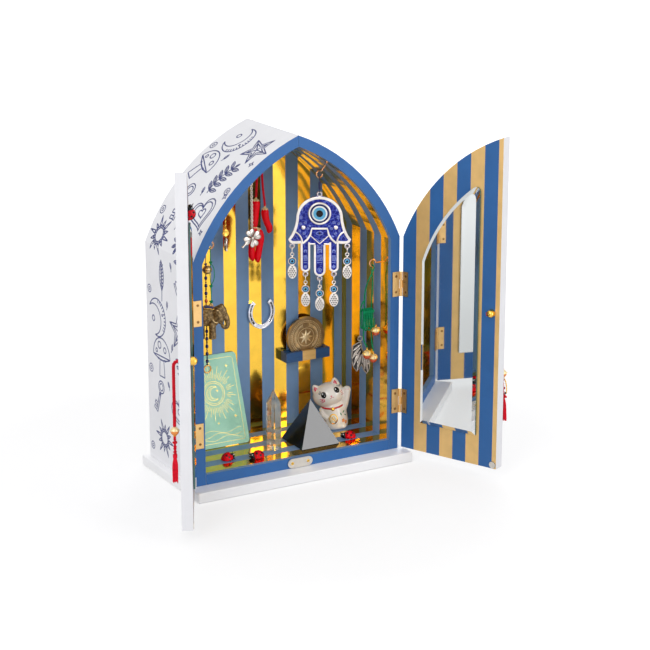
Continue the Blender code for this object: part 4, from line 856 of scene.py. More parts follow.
for label, side in SIDES.items():
    hinge = on_door(label)
    outward = (hinge.to_3x3() @ Vector((-side, 0, 0))).normalized()
    inward = (hinge.to_3x3() @ Vector((0, 1, 0))).normalized()
    start = (hinge @ Vector((side * HALF_WIDTH, 0, 0))).dot(outward)
    wall = banded(label + "_wall_finish", lambda made: made.faces((-side, 0, 0), 0.25), by_depth, to_front)
    door = banded(label + "_door_finish", lambda made: made.faces(inward),
                  lambda made: by_period(made, outward, start, DOOR_PERIOD * MM, False),
                  None, FRAME_BLUE, DOOR_GOLD, 1.0)
    dress(wall, label + "_wall")
    dress(door, label + "_door")
    dress(mirror_glass(label + "_mirror_finish", inward), label + "_mirror")

dress(banded("floor_finish", lambda made: made.faces((0, 0, 1)), by_depth, to_front), "floor_panel")
dress(banded("back_finish", to_front,
             lambda made: by_period(made, (1, 0, 0), BACK_START * MM, BACK_PERIOD * MM, True)), "back_panel")
dress(plain("base_paper", (251, 251, 253), 0.42, 0, 0.02, 90, 0.1), "base_board")
dress(BRASS, *[name for name in NODES if name.endswith("_leaf")])
dress(NICKEL, "catch_plate", "left_magnet", "right_magnet")
dress(GOLD, "left_stud", "right_stud")
dress(HOOK_BRASS, "hamsa_hook", "left_hook", "right_hook")
dress(STEEL, "horseshoe")
dress(DARK_BRONZE, "coin")

SHELF_BAND = (51.7, 67.6)
shelf = Finish("shelf_finish")
along = shelf.along((1, 0, 0))
band = shelf.math("MULTIPLY", shelf.math("GREATER_THAN", along, SHELF_BAND[0] * MM),
                  shelf.math("LESS_THAN", along, SHELF_BAND[1] * MM))
grain = shelf.noise(60, 6, 0.6, (1, 8, 8))
shelf.set(base_color=shelf.mix(band, shelf.mottle(grain, FRAME_BLUE, 0.5, 0.75),
                               shelf.mottle(grain, DOOR_GOLD, 0.75, 1.0)))
shelf.set(metallic=shelf.math("MULTIPLY", band, 0.6), roughness=shelf.span(grain, 0.35, 0.55))
shelf.bump(grain, 0.3, 0.15)
dress(shelf.material, "coin_shelf")

mint = Finish("mint_card_stock")
washes = [(0.25, srgb(150, 214, 192)), (0.55, srgb(172, 230, 208)), (0.8, srgb(194, 240, 222))]
mint.set(base_color=mint.ramp(mint.noise(45, 6, 0.65), washes))
mint.set(roughness=mint.span(mint.noise(700), 0.45, 0.65))
mint.bump(mint.noise(1200), 0.2, 0.05)
dress(mint.material, "card")

quartz = Finish("clear_quartz_veiled")
veil = quartz.noise(120, 7, 0.7)
# The warm tint is painted reflection: it stands in for the gold foil seen through the crystal
foil_reflection_tints = [(0.4, srgb(255, 246, 226)), (0.66, srgb(255, 240, 214)), (0.78, srgb(255, 250, 240))]
quartz.set(base_color=quartz.ramp(veil, foil_reflection_tints))
quartz.set(roughness=quartz.ramp(veil, [(0.48, grey(0.0)), (0.72, grey(0.22))]))
quartz.set(transmission_weight=quartz.ramp(veil, [(0.42, grey(0.96)), (0.68, grey(0.74))]), ior=1.14)
quartz.set(coat_weight=0.8, coat_ior=1.5, coat_roughness=0.02)
quartz.bump(quartz.noise(90, 3), 0.05, 0.3)
dress(quartz.material, "crystal")

stone = Finish("black_polished_stone")
flecks = stone.noise(260, 8, 0.7)
stone.set(base_color=stone.ramp(flecks, [(0.4, srgb(10, 10, 13)), (0.72, srgb(34, 34, 40))]))
stone.set(roughness=stone.span(flecks, 0.08, 0.2), ior=1.7)
stone.set(coat_weight=0.3, coat_roughness=0.12, coat_ior=1.6)
stone.bump(flecks, 0.04, 0.1)
dress(stone.material, "pyramid")

enamel = Finish("cobalt_enamel_on_silver")
away = (HAMSA.to_3x3() @ Vector((0, -1, 0))).normalized()
front = enamel.math("GREATER_THAN", enamel.math("ABSOLUTE", enamel.along(away, "Normal")), 0.5)
cells = enamel.node("ShaderNodeTexVoronoi", feature="DISTANCE_TO_EDGE")
enamel.feed(cells.inputs["Vector"], enamel.place())
enamel.feed(cells.inputs["Scale"], 240)
blues = [(0.012, srgb(92, 112, 214)), (0.04, srgb(14, 28, 146)), (0.5, srgb(6, 16, 110))]
swirl = enamel.ramp(cells.outputs["Distance"], blues)
enamel.set(base_color=enamel.mix(front, srgb(206, 198, 192), swirl))
enamel.set(metallic=enamel.math("SUBTRACT", 1.0, front))
enamel.set(roughness=enamel.span(enamel.noise(300), 0.12, 0.3), coat_weight=0.1, specular_ior_level=0.2)
enamel.bump(cells.outputs["Distance"], 0.2, 0.1)
dress(enamel.material, "hamsa")


# Line drawings on the outside: plain motifs, made of closed and open lines in a unit square
def looped(points):
    return points, True


def stroke(*points):
    return list(points), False


def curve(start, control, end, steps):
    return bend(start, control, end, steps), False


def round_line(across, up, radius, steps=20):
    return looped(arc((across, up), radius, 0, 360, steps)[:-1])


def petal(start, end, width):
    """A leaf-shaped outline between two points."""
    middle = ((start[0] + end[0]) / 2, (start[1] + end[1]) / 2)
    aside = ((start[1] - end[1]) * width, (end[0] - start[0]) * width)
    one = bend(start, (middle[0] + aside[0], middle[1] + aside[1]), end, 8)
    two = bend(end, (middle[0] - aside[0], middle[1] - aside[1]), start, 8)
    return one[:-1] + two[:-1]


def leaf(start, end, width):
    """A leaf between two points, with its rib."""
    rib_end = (start[0] * 0.25 + end[0] * 0.75, start[1] * 0.25 + end[1] * 0.75)
    return [looped(petal(start, end, width)), stroke(start, rib_end)]


def heart_outline():
    rim = []
    for step in range(32):
        angle = 2 * math.pi * step / 32
        rim.append((0.9 * math.sin(angle) ** 3, (13 * math.cos(angle) - 5 * math.cos(2 * angle)
                                                - 2 * math.cos(3 * angle) - math.cos(4 * angle)) / 17))
    return rim


def sun_lines():
    lines = [round_line(0, 0, 0.44), round_line(0, 0, 0.34)]
    for ray in range(12):
        far = 0.98 if ray % 2 == 0 else 0.74
        lines.append(looped([polar(0.5, ray * 30 - 9), polar(far, ray * 30), polar(0.5, ray * 30 + 9)]))
    return lines + [stroke(polar(0.36, mark), polar(0.42, mark)) for mark in range(0, 360, 20)]


def moon_lines():
    lines = [looped(arc((0, 0), 0.92, 52, 308, 24) + arc((0.36, 0), 0.75, 284, 76, 18))]
    lines += [stroke(polar(0.88, mark), polar(0.74, mark)) for mark in range(120, 250, 12)]
    return lines + [round_line(0.42, 0.05, 0.14, 10), round_line(-0.62, 0.0, 0.05, 8)]


def star_lines():
    tips = starred(0.98, 0.42, 5)
    return [looped(tips), looped(sized(tips, 0.66))] + [stroke((0, 0), tip) for tip in tips[::2]]


def daisy_lines():
    lines = [round_line(0, 0.3, 0.17, 14), round_line(0, 0.3, 0.09, 10)]
    for number in range(9):
        near, far = shifted([polar(0.19, number * 40), polar(0.62, number * 40)], 0, 0.3)
        lines += leaf(near, far, 0.34)
    lines.append(curve((0, -0.32), (0.1, -0.7), (-0.05, -1), 6))
    return lines + leaf((0.03, -0.66), (0.52, -0.44), 0.3) + leaf((0.02, -0.76), (-0.46, -0.6), 0.3)


def sprig_lines():
    stem = bend((-0.2, -1), (0.2, -0.2), (0.05, 0.72), 10)
    lines = [(stem, False)] + leaf((0.05, 0.72), (0.02, 1.0), 0.4)
    for root in stem[1::2]:
        lines += leaf(root, (root[0] + 0.5, root[1] + 0.26), 0.32)
        lines += leaf(root, (root[0] - 0.5, root[1] + 0.3), 0.32)
    return lines


def heart_lines():
    rim = heart_outline()
    return [looped(rim), looped(sized(rim, 0.78)), looped(sized(rim[::2], 0.3))]


def key_lines():
    shank = [(-0.07, 0.27), (0.07, 0.27), (0.07, -0.95), (-0.07, -0.95)]
    lines = [round_line(0, 0.62, 0.34), round_line(0, 0.62, 0.2, 14), looped(shank)]
    lines += [looped([(0.07, up), (0.36, up), (0.36, up + 0.16), (0.07, up + 0.16)]) for up in (-0.92, -0.62)]
    return lines + [stroke((-0.12, up), (0.12, up)) for up in (0.2, 0.12)]


def feather_lines():
    quill = bend((-0.3, -1), (-0.1, 0), (0.25, 0.95), 12)
    lines = [(quill, False), looped(petal(quill[3], quill[-1], 0.3))]
    for across, up in quill[4:11]:
        lines.append(stroke((across, up), (across + 0.2, up + 0.16)))
        lines.append(stroke((across, up), (across - 0.13, up + 0.2)))
    return lines


def mushroom_lines():
    lines = [looped(arc((0, 0.05), 0.86, 0, 180, 18)), curve((-0.86, 0.05), (0, -0.28), (0.86, 0.05), 10)]
    for mark in (-0.6, -0.35, 0.35, 0.6):
        lines.append(stroke((mark, -0.06 + 0.1 * mark * mark), (mark * 0.5, -0.14)))
    lines.append(looped([(-0.2, -0.13), (-0.26, -0.9), (0.28, -0.9), (0.2, -0.13)]))
    dots = ((-0.35, 0.4, 0.13, 10), (0.2, 0.55, 0.16, 12), (0.52, 0.25, 0.09, 8))
    return lines + [round_line(*dot) for dot in dots]


def shell_lines():
    waves = [polar(0.95 + 0.05 * math.cos(step * math.pi), 20 + step * 7) for step in range(21)]
    rim = shifted(waves, 0, -0.45)
    lines = [looped(rim + [(-0.22, -0.62), (0.22, -0.62)])]
    lines += [stroke((across * 0.16, -0.5), (across, up)) for across, up in rim[1::2]]
    return lines + [curve((-0.5, 0.08), (0, 0.3), (0.5, 0.08), 8)]


def dot_lines():
    return [round_line(0, 0, 0.9, 10), round_line(0, 0, 0.35, 8)]


def twinkle_lines():
    return [looped(starred(0.95, 0.3, 4))]


def bud_lines():
    return leaf((0, -0.9), (0, 0.9), 0.4) + [stroke((0, -0.9), (0.25, -1.5))]


MOTIFS = (sun_lines, sprig_lines, moon_lines, daisy_lines, key_lines, star_lines, feather_lines, heart_lines,
          mushroom_lines, shell_lines)
FILLERS = (twinkle_lines, dot_lines, bud_lines)
MOTIF_STEP = 7
SMALLEST = 0.86
MOST_TURN = 32
ROW = 42.0
WALL_ROOM = 22.5
DOOR_ROOM = 20.5
TOP_MOTIF = 368
TOP_FILLER = 380
SHAKE = 2
MARGIN = 2
LINE_STEP = 2
LINE_HIGH = 0.06
STUD_CLEAR = 26
STUD_X = 9.3
STUD_UP = 165.7
FIRST_ANGLE = math.acos((HALF_WIDTH - ARCH_X) / ARCH_RADIUS)
RIDGE = SPRING + ARCH_RADIUS * (math.acos(-ARCH_X / ARCH_RADIUS) - FIRST_ANGLE)


def draw(shape, spots, lay, seed, wide, motifs=MOTIFS, width=1.0):
    """Draws motifs at spots, each with its own size and turn, on a sheet of a width."""
    dice = random.Random(seed)
    for index, (across, up, room) in enumerate(spots):
        size = room * dice.uniform(SMALLEST, 1.0)
        turn = Matrix.Rotation(math.radians(dice.uniform(-MOST_TURN, MOST_TURN)), 2)
        lines = [([Vector((across, up)) + size * (turn @ Vector(point)) for point in points], closed)
                 for points, closed in motifs[(index * MOTIF_STEP + seed) % len(motifs)]()]
        shift = Vector((0.0, 0.0))
        for axis, limit in ((0, wide - MARGIN), (1, RIDGE - MARGIN)):
            reach = [point[axis] for points, _ in lines for point in points]
            shift[axis] = max(0.0, MARGIN - min(reach)) - max(0.0, max(reach) - limit)
        for points, closed in lines:
            points = [point + shift for point in points]
            ends = points[1:] + points[:1] if closed else points[1:]
            route = []
            for near, far in zip(points, ends):
                steps = max(1, math.ceil((far - near).length / LINE_STEP))
                route += [near.lerp(far, step / steps) for step in range(steps)]
            shape.line(route if closed else route + points[-1:], width, INK, lay, closed, LINE_HIGH)


def wall_drawing(label, dice):
    """Motifs and small fillers over the outside of a wall, from its foot over the vault to the ridge."""
    side = SIDES[label]
    spots = []
    fills = []
    for row in range(9):
        shift = 10 if row % 2 else 0
        up = row * ROW
        spots.append((25 + shift + dice.uniform(-SHAKE, SHAKE), 26 + up, WALL_ROOM))
        across = 74 + shift + dice.uniform(-SHAKE, SHAKE)
        spots.append((across, 30 + up + dice.uniform(-SHAKE, SHAKE), WALL_ROOM))
        fills += [(101 - shift * 9.2, 14 + up, 5), (50 + shift, 48 + up, 4.5), (6 + shift * 0.4, 50 + up, 4)]

    def lay(across, up, lift):
        if up <= SPRING:
            return Vector((side * (HALF_WIDTH + lift), across, up))
        angle = FIRST_ANGLE + (up - SPRING) / ARCH_RADIUS
        radius = ARCH_RADIUS + lift
        return Vector((side * (ARCH_X + radius * math.cos(angle)), across, ARCH_Z + radius * math.sin(angle)))

    drawing = Shape()
    draw(drawing, [spot for spot in spots if spot[1] < TOP_MOTIF], lay, 4 + side, DEPTH, width=1.3)
    draw(drawing, [spot for spot in fills if spot[1] < TOP_FILLER], lay, 1, DEPTH, FILLERS)
    piece(label + "_wall_drawing", drawing, standing(0, 0, 0), "cabinet")


def door_drawing(label, dice):
    """Motifs and small fillers over the outside of a door, clear of its stud."""
    side = SIDES[label]
    spots = []
    fills = []
    for row in range(8):
        for column in range(3):
            odd = column % 2
            across = 23 + column * 36 + dice.uniform(-SHAKE, SHAKE)
            up = 25 + row * ROW + (15 if odd else 0)
            near_stud = max(abs(across - STUD_X), abs(up - STUD_UP)) < STUD_CLEAR
            if up + 24 < arch_height(min(HALF_WIDTH, across + 18)) and not near_stud:
                spots.append((across, up, DOOR_ROOM))
                fills.append((across + 19, up + (4 if odd else 24), 4.5))
    fills = [(across, up, room) for across, up, room in fills
             if across < 110 and up + 8 < arch_height(min(HALF_WIDTH, across + 6))]

    def lay(across, up, lift):
        return Vector((side * across, DOOR_FACE - DOOR_THICK - lift, up))

    drawing = Shape()
    draw(drawing, spots, lay, 7 + side, HALF_WIDTH)
    draw(drawing, fills, lay, 2, HALF_WIDTH, FILLERS)
    piece(label + "_door_drawing", drawing, on_door(label), label + "_door")


for label, side in SIDES.items():
    dice = random.Random(side + 5)
    wall_drawing(label, dice)
    door_drawing(label, dice)

# Stage and light
FLOOR_HALF = 6
FLOOR_DROP = -0.0004
GLOW_REACH = (0.3, 0.9)
GLOW_LEVELS = (0.56, 0.84)
SKY_LEVELS = (0.6, 1.0)
AIM = Vector((0, 0, 0.17))

floor_mesh = bpy.data.meshes.new("floor")
corners = [(x * FLOOR_HALF, y * FLOOR_HALF, FLOOR_DROP) for x, y in ((-1, -1), (1, -1), (1, 1), (-1, 1))]
floor_mesh.from_pydata(corners, [], [(0, 1, 2, 3)])
ground = bpy.data.objects.new("floor", floor_mesh)
SCENE.collection.objects.link(ground)
pale = Finish("pale_floor")
pale.set(base_color=pale.ramp(pale.noise(3), [(0.3, (0.46, 0.46, 0.465)), (0.7, (0.48, 0.48, 0.485))]))
away = pale.vector("LENGTH", pale.place())
glow = pale.node("ShaderNodeMapRange", away, *GLOW_REACH, *GLOW_LEVELS).outputs[0]
pale.set(emission_color=grey(1.0), emission_strength=pale.math("MULTIPLY", pale.direct(), glow))
pale.set(roughness=0.7, specular_ior_level=0.1)
floor_mesh.materials.append(pale.material)

world = bpy.data.worlds.new("studio")
SCENE.world = world
world.use_nodes = True
sky = Nodes(world.node_tree)
background = sky.tree.nodes["Background"]
sky.feed(background.inputs["Color"], (1.0, 1.0, 1.0, 1.0))
sky.feed(background.inputs["Strength"], sky.span(sky.direct(), *SKY_LEVELS))


def lamp(name, place, size, power):
    data = bpy.data.lights.new(name, "AREA")
    data.shape = "DISK"
    data.size = size
    data.energy = power
    made = bpy.data.objects.new(name, data)
    SCENE.collection.objects.link(made)
    place = Vector(place)
    turn = (AIM - place).to_track_quat("-Z", "Y").to_matrix().to_4x4()
    made.matrix_world = Matrix.Translation(place) @ turn


lamp("key", (-1.75, -1.3, 1.25), 1.4, 16.5)
lamp("sparkle", (-1.2, -2.2, 1.25), 0.24, 3.2)
lamp("fill", (1.1, -2.1, 0.8), 1.5, 18)
lamp("top", (0.0, -0.2, 2.2), 1.6, 2.5)
lamp("side", (-2.2, 0.6, 0.8), 1.4, 4.5)
lamp("rear", (1.5, 1.9, 1.3), 1.5, 11)

# Screws, the eyes in the vault and what is fixed to the doors
HINGE_UPS = (53, 179)
HINGE_SCREW = 8.4
WALL_SCREW = (113.1, -1.05)
DOOR_SCREW = (113.4, -1.35)
HANGING_EYES = ((CHILI_EYE, 60), (CLOVER_EYE, 57.2), (-50.9, 60), (-87, 33.5))


def screw(shape, place, paint, slot_deg, size=1.5):
    head = [(0, 0.08), (0.6 * size, 0.075), (0.9 * size, 0.05), (size, 0.01), (size, -0.2), (0, -0.2)]
    shape.turned(head, paint, place, 20)
    # The slot is painted shade: a thin near-black plate laid on the head, not cut into it
    slot = sized([(-0.8, -0.13), (0.8, -0.13), (0.8, 0.13), (-0.8, 0.13)], size)
    shape.plate(slot, 0.12, PAINTED_SHADE, place @ at(0, 0, 0.04, spin("Z", slot_deg)))


fixings = Shape()
for side in (-1, 1):
    for up in HINGE_UPS:
        for offset in (-HINGE_SCREW, HINGE_SCREW):
            place = at(side * WALL_SCREW[0], WALL_SCREW[1], up + offset, UPRIGHT)
            screw(fixings, place, AGED_SCREW, 40 * side + up + offset * 3)
for side in (-1, 1):
    screw(fixings, at(side * 9.15, -1.3, 5.75, UPRIGHT), GOLD, 25 * side, 1.7)
for across, back in HANGING_EYES:
    top = arch_height(across, WALL)
    lean = math.degrees(math.atan2(-(abs(across) - ARCH_X) * math.copysign(1, across), top - ARCH_Z))
    hold = at(across, back, top, spin("Y", -lean))
    fixings.turned([(0, 0.1), (1.5, 0.1), (1.7, -0.3), (1.2, -0.7), (0, -0.8)], BRASS, hold, 16)
    fixings.ring(0.9, 0.32, BRASS, hold @ at(0, 0, -1.4, UPRIGHT), 16, 6)
piece("cabinet_fixings", fixings, standing(0, 0, 0), "cabinet")

for label, side in SIDES.items():
    fixings = Shape()
    for up in HINGE_UPS:
        for offset in (-HINGE_SCREW, HINGE_SCREW):
            place = at(side * DOOR_SCREW[0], DOOR_SCREW[1], up + offset, UPRIGHT.inverted())
            screw(fixings, place, AGED_SCREW, 65 * side + up + offset * 2, 1.35)
    fixings.ring(2.5, 0.5, GOLD, at(side * STUD_X, 0.2, STUD_UP, UPRIGHT), 24, 8)
    # A near-black ring at the end of the stud is painted shade
    fixings.ring(1.2, 0.3, PAINTED_SHADE, at(side * STUD_X, 4.05, STUD_UP, UPRIGHT), 16, 6)
    fixings.knot(1.7, 0.6, RED_CORD, at(side * 13.8, -1.3, 164.2))
    piece(label + "_door_fixings", fixings, on_door(label), label + "_door")

# Tassels
TASSEL_BEAD = at(0, TASSEL_OUT, -66.5)
TASSEL_X = 0.4
SPIRAL_DEG = 137.5
STRANDS = 40


def tassel_fringe(dice):
    """A bell bead, a knotted cord with a bar of small beads, and a bound fringe of threads."""
    tassel = Shape()
    tassel.ball(4.1, AMBER, TASSEL_BEAD, 24)
    cap = [(0, 4.5), (0.9, 4.4), (2.6, 3.5), (3.9, 1.9), (4.25, 0.6), (3.9, 0.5), (0, 1.0)]
    tassel.turned(cap, CREAM, TASSEL_BEAD, 24)
    for scallop in range(10):
        tassel.ball(0.75, CREAM, TASSEL_BEAD @ at(*polar(4.1, scallop * 36), 0.7), 8)
    tassel.turned([(0, -3.6), (1.5, -3.75), (1.9, -4.3), (1.2, -4.7), (0, -4.8)], GOLD, TASSEL_BEAD, 18)
    core = [(across, TASSEL_OUT, up) for across, up in ((0, -70.6), (0.3, -76), (0.2, -82), (0.4, -88.5))]
    tassel.rope(core, 1.1, RED_CORD)
    for up, size in ((-73.2, 1.7), (-77.6, 1.9), (-82.2, 1.8), (-86.4, 1.6)):
        tassel.knot(size, 0.62, RED_CORD, at(0.3, TASSEL_OUT, up, spin("Z", up * 17)))
    bar = smooth_route([(-1.2, -4.8, -71), (-3, -4.9, -74), (-3.8, -5, -80), (-3.6, -5, -86)], 1.1)
    for index, point in enumerate(bar[1:]):
        tassel.ball((0.75, 0.75, 0.62), GOLD if index % 4 else CREAM, at(*point), 10)
    for place, paint in (((-2.2, -5.4, -86.8), JET), ((-1.9, -4.2, -88.9), LACQUER),
                         ((-2.6, -5.2, -90.8), LACQUER)):
        tassel.ball(1.15, paint, at(*place), 14)
    for wrap in range(5):
        tassel.ring(1.75, 0.45, RED_THREAD, at(TASSEL_X, TASSEL_OUT, -88.9 - 0.75 * wrap), 20, 7)
    middle = at(TASSEL_X, TASSEL_OUT, 0)
    heart = [(0, -92.2), (1.3, -92.4), (2.0, -96), (2.1, -112), (1.6, -114.6), (0, -115)]
    tassel.turned(heart, RED_THREAD, middle, 14)
    for strand in range(STRANDS):
        angle = strand * SPIRAL_DEG
        out = 1.2 + 1.3 * math.sqrt((strand + 1) / STRANDS)
        low = -116.2 + dice.uniform(0, 3.5)
        far = polar(out, angle + dice.uniform(-14, 14))
        places = [(*polar(0.9, angle), -91.8), (*polar(out * 0.98, angle), -98), (*far, low)]
        tassel.tube(smooth_route(places, 4), 0.34, RED_THREAD, 5, place=middle)
    return tassel


for label, side in SIDES.items():
    piece(label + "_tassel_fringe", tassel_fringe(random.Random(11 + side)), tassel_place(label),
          label + "_tassel", [label + "_tassel"])

# Hamsa: rims, eye and line work on the enamel
HAMSA_TOP = -19.5
HAMSA_FACE = -0.9
PALM = -49.2
EYE_LINE = -38.2
FINGERS = ((-14.5, 3.85, -47.5, -73.7), (14.5, 3.85, -47.5, -73.7), (0, 4.85, -50.2, -77.2))
RINGS = ((0, 2.3), (-28, -51.5), (-14.5, -80.9), (0, -85.4), (14.5, -80.9), (28, -51.5))
CURLS = ((18.6, -22, 1.9, 20), (19.6, -28.2, 1.6, 140), (14.4, -26.6, 1.7, 250), (12, -33.6, 1.6, 60),
         (20.4, -35.4, 1.5, 200), (15.6, -38.4, 1.6, 320), (13.4, -7.6, 1.6, 90), (17.6, -13.6, 1.7, 10),
         (20.6, -17.6, 1.2, 170), (7, -3.6, 1.4, 240), (13.2, -41.6, 1.0, 40), (10, -30.6, 1.1, 120))
trim = Shape()


def on_hamsa(across, up, lift):
    return Vector((across, HAMSA_FACE - lift, HAMSA_TOP + up))


def inlay(points, width, paint=PALE_INK, high=0.3, closed=False):
    trim.line(points, width, paint, on_hamsa, closed, high)


def both_ways(points):
    return points + mirrored(reversed(points))


edge = [(22.2 * x, -22 + 20.6 * y) for x, y in arc((0, 0), 1, 90, 0, 14)]
edge += bend((22.2, -22), (23.6, -36.4), (30.6, -44.6), 8)[1:]
edge += [(29.6, -46.4), *bend((27.5, -47.6), (22, -48), (18.6, -47), 5)]
inlay(mirrored(edge[:0:-1]) + edge, 2.7, SILVER, 0.85)
for middle, half, start, end in FINGERS:
    rim = arc((middle, end), half, 0, -180, 12)
    inlay([(middle + half, start), *rim, (middle - half, start)], 2.0, SILVER, 0.85)
    inner = half - 1.9
    inlay(arc((middle, -57), inner * 0.72, -50, 230, 14), 0.7, high=0.35)
    for up in (-61.5, -66.5, -68.6):
        inlay([(middle - inner, up), (middle + inner, up)], 0.45)
    for step in range(5):
        across = middle - inner + inner * 0.5 * step
        inlay([(across, -62), (across + (inner * 0.45 if step < 4 else 0), -66)], 0.4)
    tip = at(middle, -0.95, HAMSA_TOP + end + 0.6)
    trim.ring(inner * 0.62, 0.32, PALE_INK, tip @ UPRIGHT, 20, 6)
    trim.ball((inner * 0.3, 0.3, inner * 0.3), PALE_INK, tip, 12)
inlay(both_ways([(17.0, -48.6), (12.4, -44.4), (9.4, -39.6), (7.8, -33.2)]), 1.9, SILVER, 0.75)
inlay(both_ways([(9.2, -40.6), (0.05, -49)]), 0.8, SILVER, 0.5)
for low in (0, 2.2, 6.6, 8.8, 11.0):
    wide = 4.2 if low < 5 else 2.8
    inlay([(-wide, -43.4 - low), (0, -46.8 - low), (wide, -43.4 - low)], 0.55)
for across in (-7.6, 7.6):
    inlay([(across - 3.2, PALM), (across + 3.2, PALM)], 1.5, SILVER, 0.8)
inlay(oval(3.4, 1.7, 18, 0, EYE_LINE), 0.5, closed=True)
trim.ball((1.1, 0.35, 1.1), JET, at(0, -0.95, HAMSA_TOP + EYE_LINE), 14)
boss = [(0, 0.9), (1.2, 0.8), (2.0, 0.35), (2.1, -0.2), (0, -0.2)]
for side in (-1, 1):
    corner = bend((24.6, -36.6), (18.4, -40), (17.6, -47.8), 8)
    inlay([(side * across, up) for across, up in corner], 1.5, SILVER, 0.7)
    triangle = ((24.4, -40.6), (21.2, -45.6), (27.2, -45.2))
    inlay([(side * across, up) for across, up in triangle], 0.5, closed=True)
    trim.turned(boss, SILVER, at(side * 16.5, HAMSA_FACE, HAMSA_TOP - 32.1, UPRIGHT), 18)
    for across, up, size, turn_deg in CURLS:
        curl = [polar(size * (0.2 + 0.8 * step / 14), turn_deg + 34 * step) for step in range(15)]
        inlay([(side * (across + x), up + y) for x, y in curl], 0.42)
eye_place = at(0, HAMSA_FACE, HAMSA_TOP - 17.6, UPRIGHT)
trim.ring(10.7, 1.15, SILVER, eye_place, 48, 10, 0.8)
for profile, paint, steps in (([(0, 0.5), (9.2, 0.5), (9.8, 0.3), (9.8, -0.1), (0, -0.1)], NAVY, 40),
                              ([(0, 0.75), (7.6, 0.75), (7.9, 0.6), (7.9, 0.2), (0, 0.2)], MILK, 40),
                              ([(0, 1.3), (3, 1.25), (5.6, 1.0), (6.4, 0.8), (6.4, 0.3), (0, 0.3)], SKY, 36),
                              ([(0, 1.6), (2, 1.55), (3.5, 1.3), (3.7, 0.9), (0, 0.9)], JET, 30)):
    trim.turned(profile, paint, eye_place, steps)
for across, up in RINGS:
    trim.ring(2.15, 0.95, SILVER, at(across, 0, HAMSA_TOP + up, UPRIGHT), 24, 10)
piece("hamsa_trim", trim, HAMSA, "hamsa")

# Dangles
DANGLE_EYE = -13.75
DANGLE_PLATE = -24.95
HOLE = 0.72
charm = Shape()
charm.ring(3.05, 0.45, SILVER, at(0, 0, -1.45, SIDEWAYS), 28, 8)
charm.ring(1.65, 0.55, SILVER, at(0, 0, -6.65, UPRIGHT), 24, 8)
charm.ball((0.9, 0.8, 1.0), SILVER, at(0, 0, -9.1), 12)
disc = [(0, 0.9), (4.0, 0.9), (4.2, 0.6), (4.2, -0.6), (4.0, -0.9), (0, -0.9)]
charm.turned(disc, SILVER, at(0, 0, DANGLE_EYE, UPRIGHT), 30)
for turn in (UPRIGHT, UPRIGHT.inverted()):
    seat = at(0, 0, DANGLE_EYE, turn)
    charm.ring(3.7, 0.45, SILVER, seat @ at(0, 0, 0.8), 30, 8)
    charm.turned([(0, 1.05), (3.4, 1.0), (3.5, 0.7), (0, 0.7)], NAVY, seat, 28)
    charm.turned([(0, 1.25), (2.3, 1.15), (2.45, 0.9), (0, 0.9)], SKY, seat, 24)
    charm.turned([(0, 1.45), (1.2, 1.3), (1.3, 1.1), (0, 1.1)], JET, seat, 18)
    # A small white dot on each pupil is a painted highlight
    charm.ball((0.35, 0.2, 0.35), MILK, seat @ at(-0.8, 0.8, 1.35), 8)
holes = []
for row in range(6):
    for column in range(3 if row % 2 else 4):
        across = (column - (1.0 if row % 2 else 1.5)) * 2.3
        up = (row - 2.5) * 2.1
        if (across / 3.9) ** 2 + (up / 6.3) ** 2 < 1.02:
            holes.append(arc((across, up), HOLE, 0, 315, 7))
charm.plate(oval(4.7, 7.2, 28), 1.5, SILVER, at(0, 0, DANGLE_PLATE, UPRIGHT), holes, 0.3)
# A near-black plate inside the pierced hand is painted shade, seen through its holes
charm.plate(oval(4.1, 6.6, 24), 1.3, PAINTED_SHADE, at(0, 0, DANGLE_PLATE, UPRIGHT))
charm.ball((1.1, 0.8, 1.0), SILVER, at(0, 0, -18.0), 12)
charm_mesh = charm.mesh("dangle_charm")
for number in range(1, 6):
    piece(f"dangle_charm_{number}", charm_mesh, hung_from(f"dangle_{number}_swing", HAMSA_DEG),
          f"dangle_{number}", [f"hamsa_dangle_{number}"])

# Peppers
PEPPER_SEAT = Vector((0, 0, -0.3))


def pepper(shape, girth, *places):
    """A curved pepper with round shoulders, a blunt tip and a metal crown."""
    route = resample(smooth_route([in_bundle(*place) + PEPPER_SEAT for place in places], 1.5), 1.2)
    sizes = []
    for share in tapered(len(route), 0, 1):
        shoulder = math.sqrt(min(1.0, 0.16 + share / 0.14))
        tip = math.sqrt(max(0.02, 1 - max(0.0, (share - 0.78) / 0.22) ** 2.2))
        sizes.append(girth * shoulder * (1 - 0.22 * share) * tip * (1 + 0.03 * math.sin(9 * share)))
    shape.tube(route, 3.7, LACQUER, 22, sizes)
    crown = at(*route[0]) @ facing((route[2] - route[0]).normalized())
    profile = [(0, -2.2), (0.7, -2.1), (0.8, -1.0), (1.9 * girth, -0.3), (2.6 * girth, 0.9),
               (2.2 * girth, 1.2), (0, 0.6)]
    shape.turned(profile, CREAM, crown, 16)
    for tooth in range(6):
        shape.ball((0.6, 0.6, 1.1), CREAM, crown @ at(*polar(2.45 * girth, tooth * 60), 1.2), 8)
    shape.ring(0.9, 0.3, BRASS, crown @ at(0, 0, -2.6, UPRIGHT), 14, 6)


short = Shape()
pepper(short, 1.08, (0.052, 0.55), (0.052, 0.6), (0.067, 0.666), (0.091, 0.719), (0.084, 0.764))
piece("pepper_short", short, CHILI, "chili_bundle", ["chili_short"])
bunch = Shape()
pepper(bunch, 1.15, (-0.03, 0.468), (-0.037, 0.577), (-0.051, 0.71))
pepper(bunch, 1.15, (-0.02, 0.715), (0.006, 0.79), (-0.006, 0.877), (-0.02, 0.956), (-0.013, 1))
pepper(bunch, 1.1, (-0.052, 0.69), (-0.061, 0.766), (-0.071, 0.843), (-0.076, 0.921), (-0.064, 0.98))
piece("pepper_bunch", bunch, CHILI, "chili_bundle", ["chili_pair"])

# Clover on its chain
CLOVER_DROP = 96.2 - VAULT
CLOVER = at(CLOVER_EYE - CHILI_EYE, -2.8, -CLOVER_DROP)


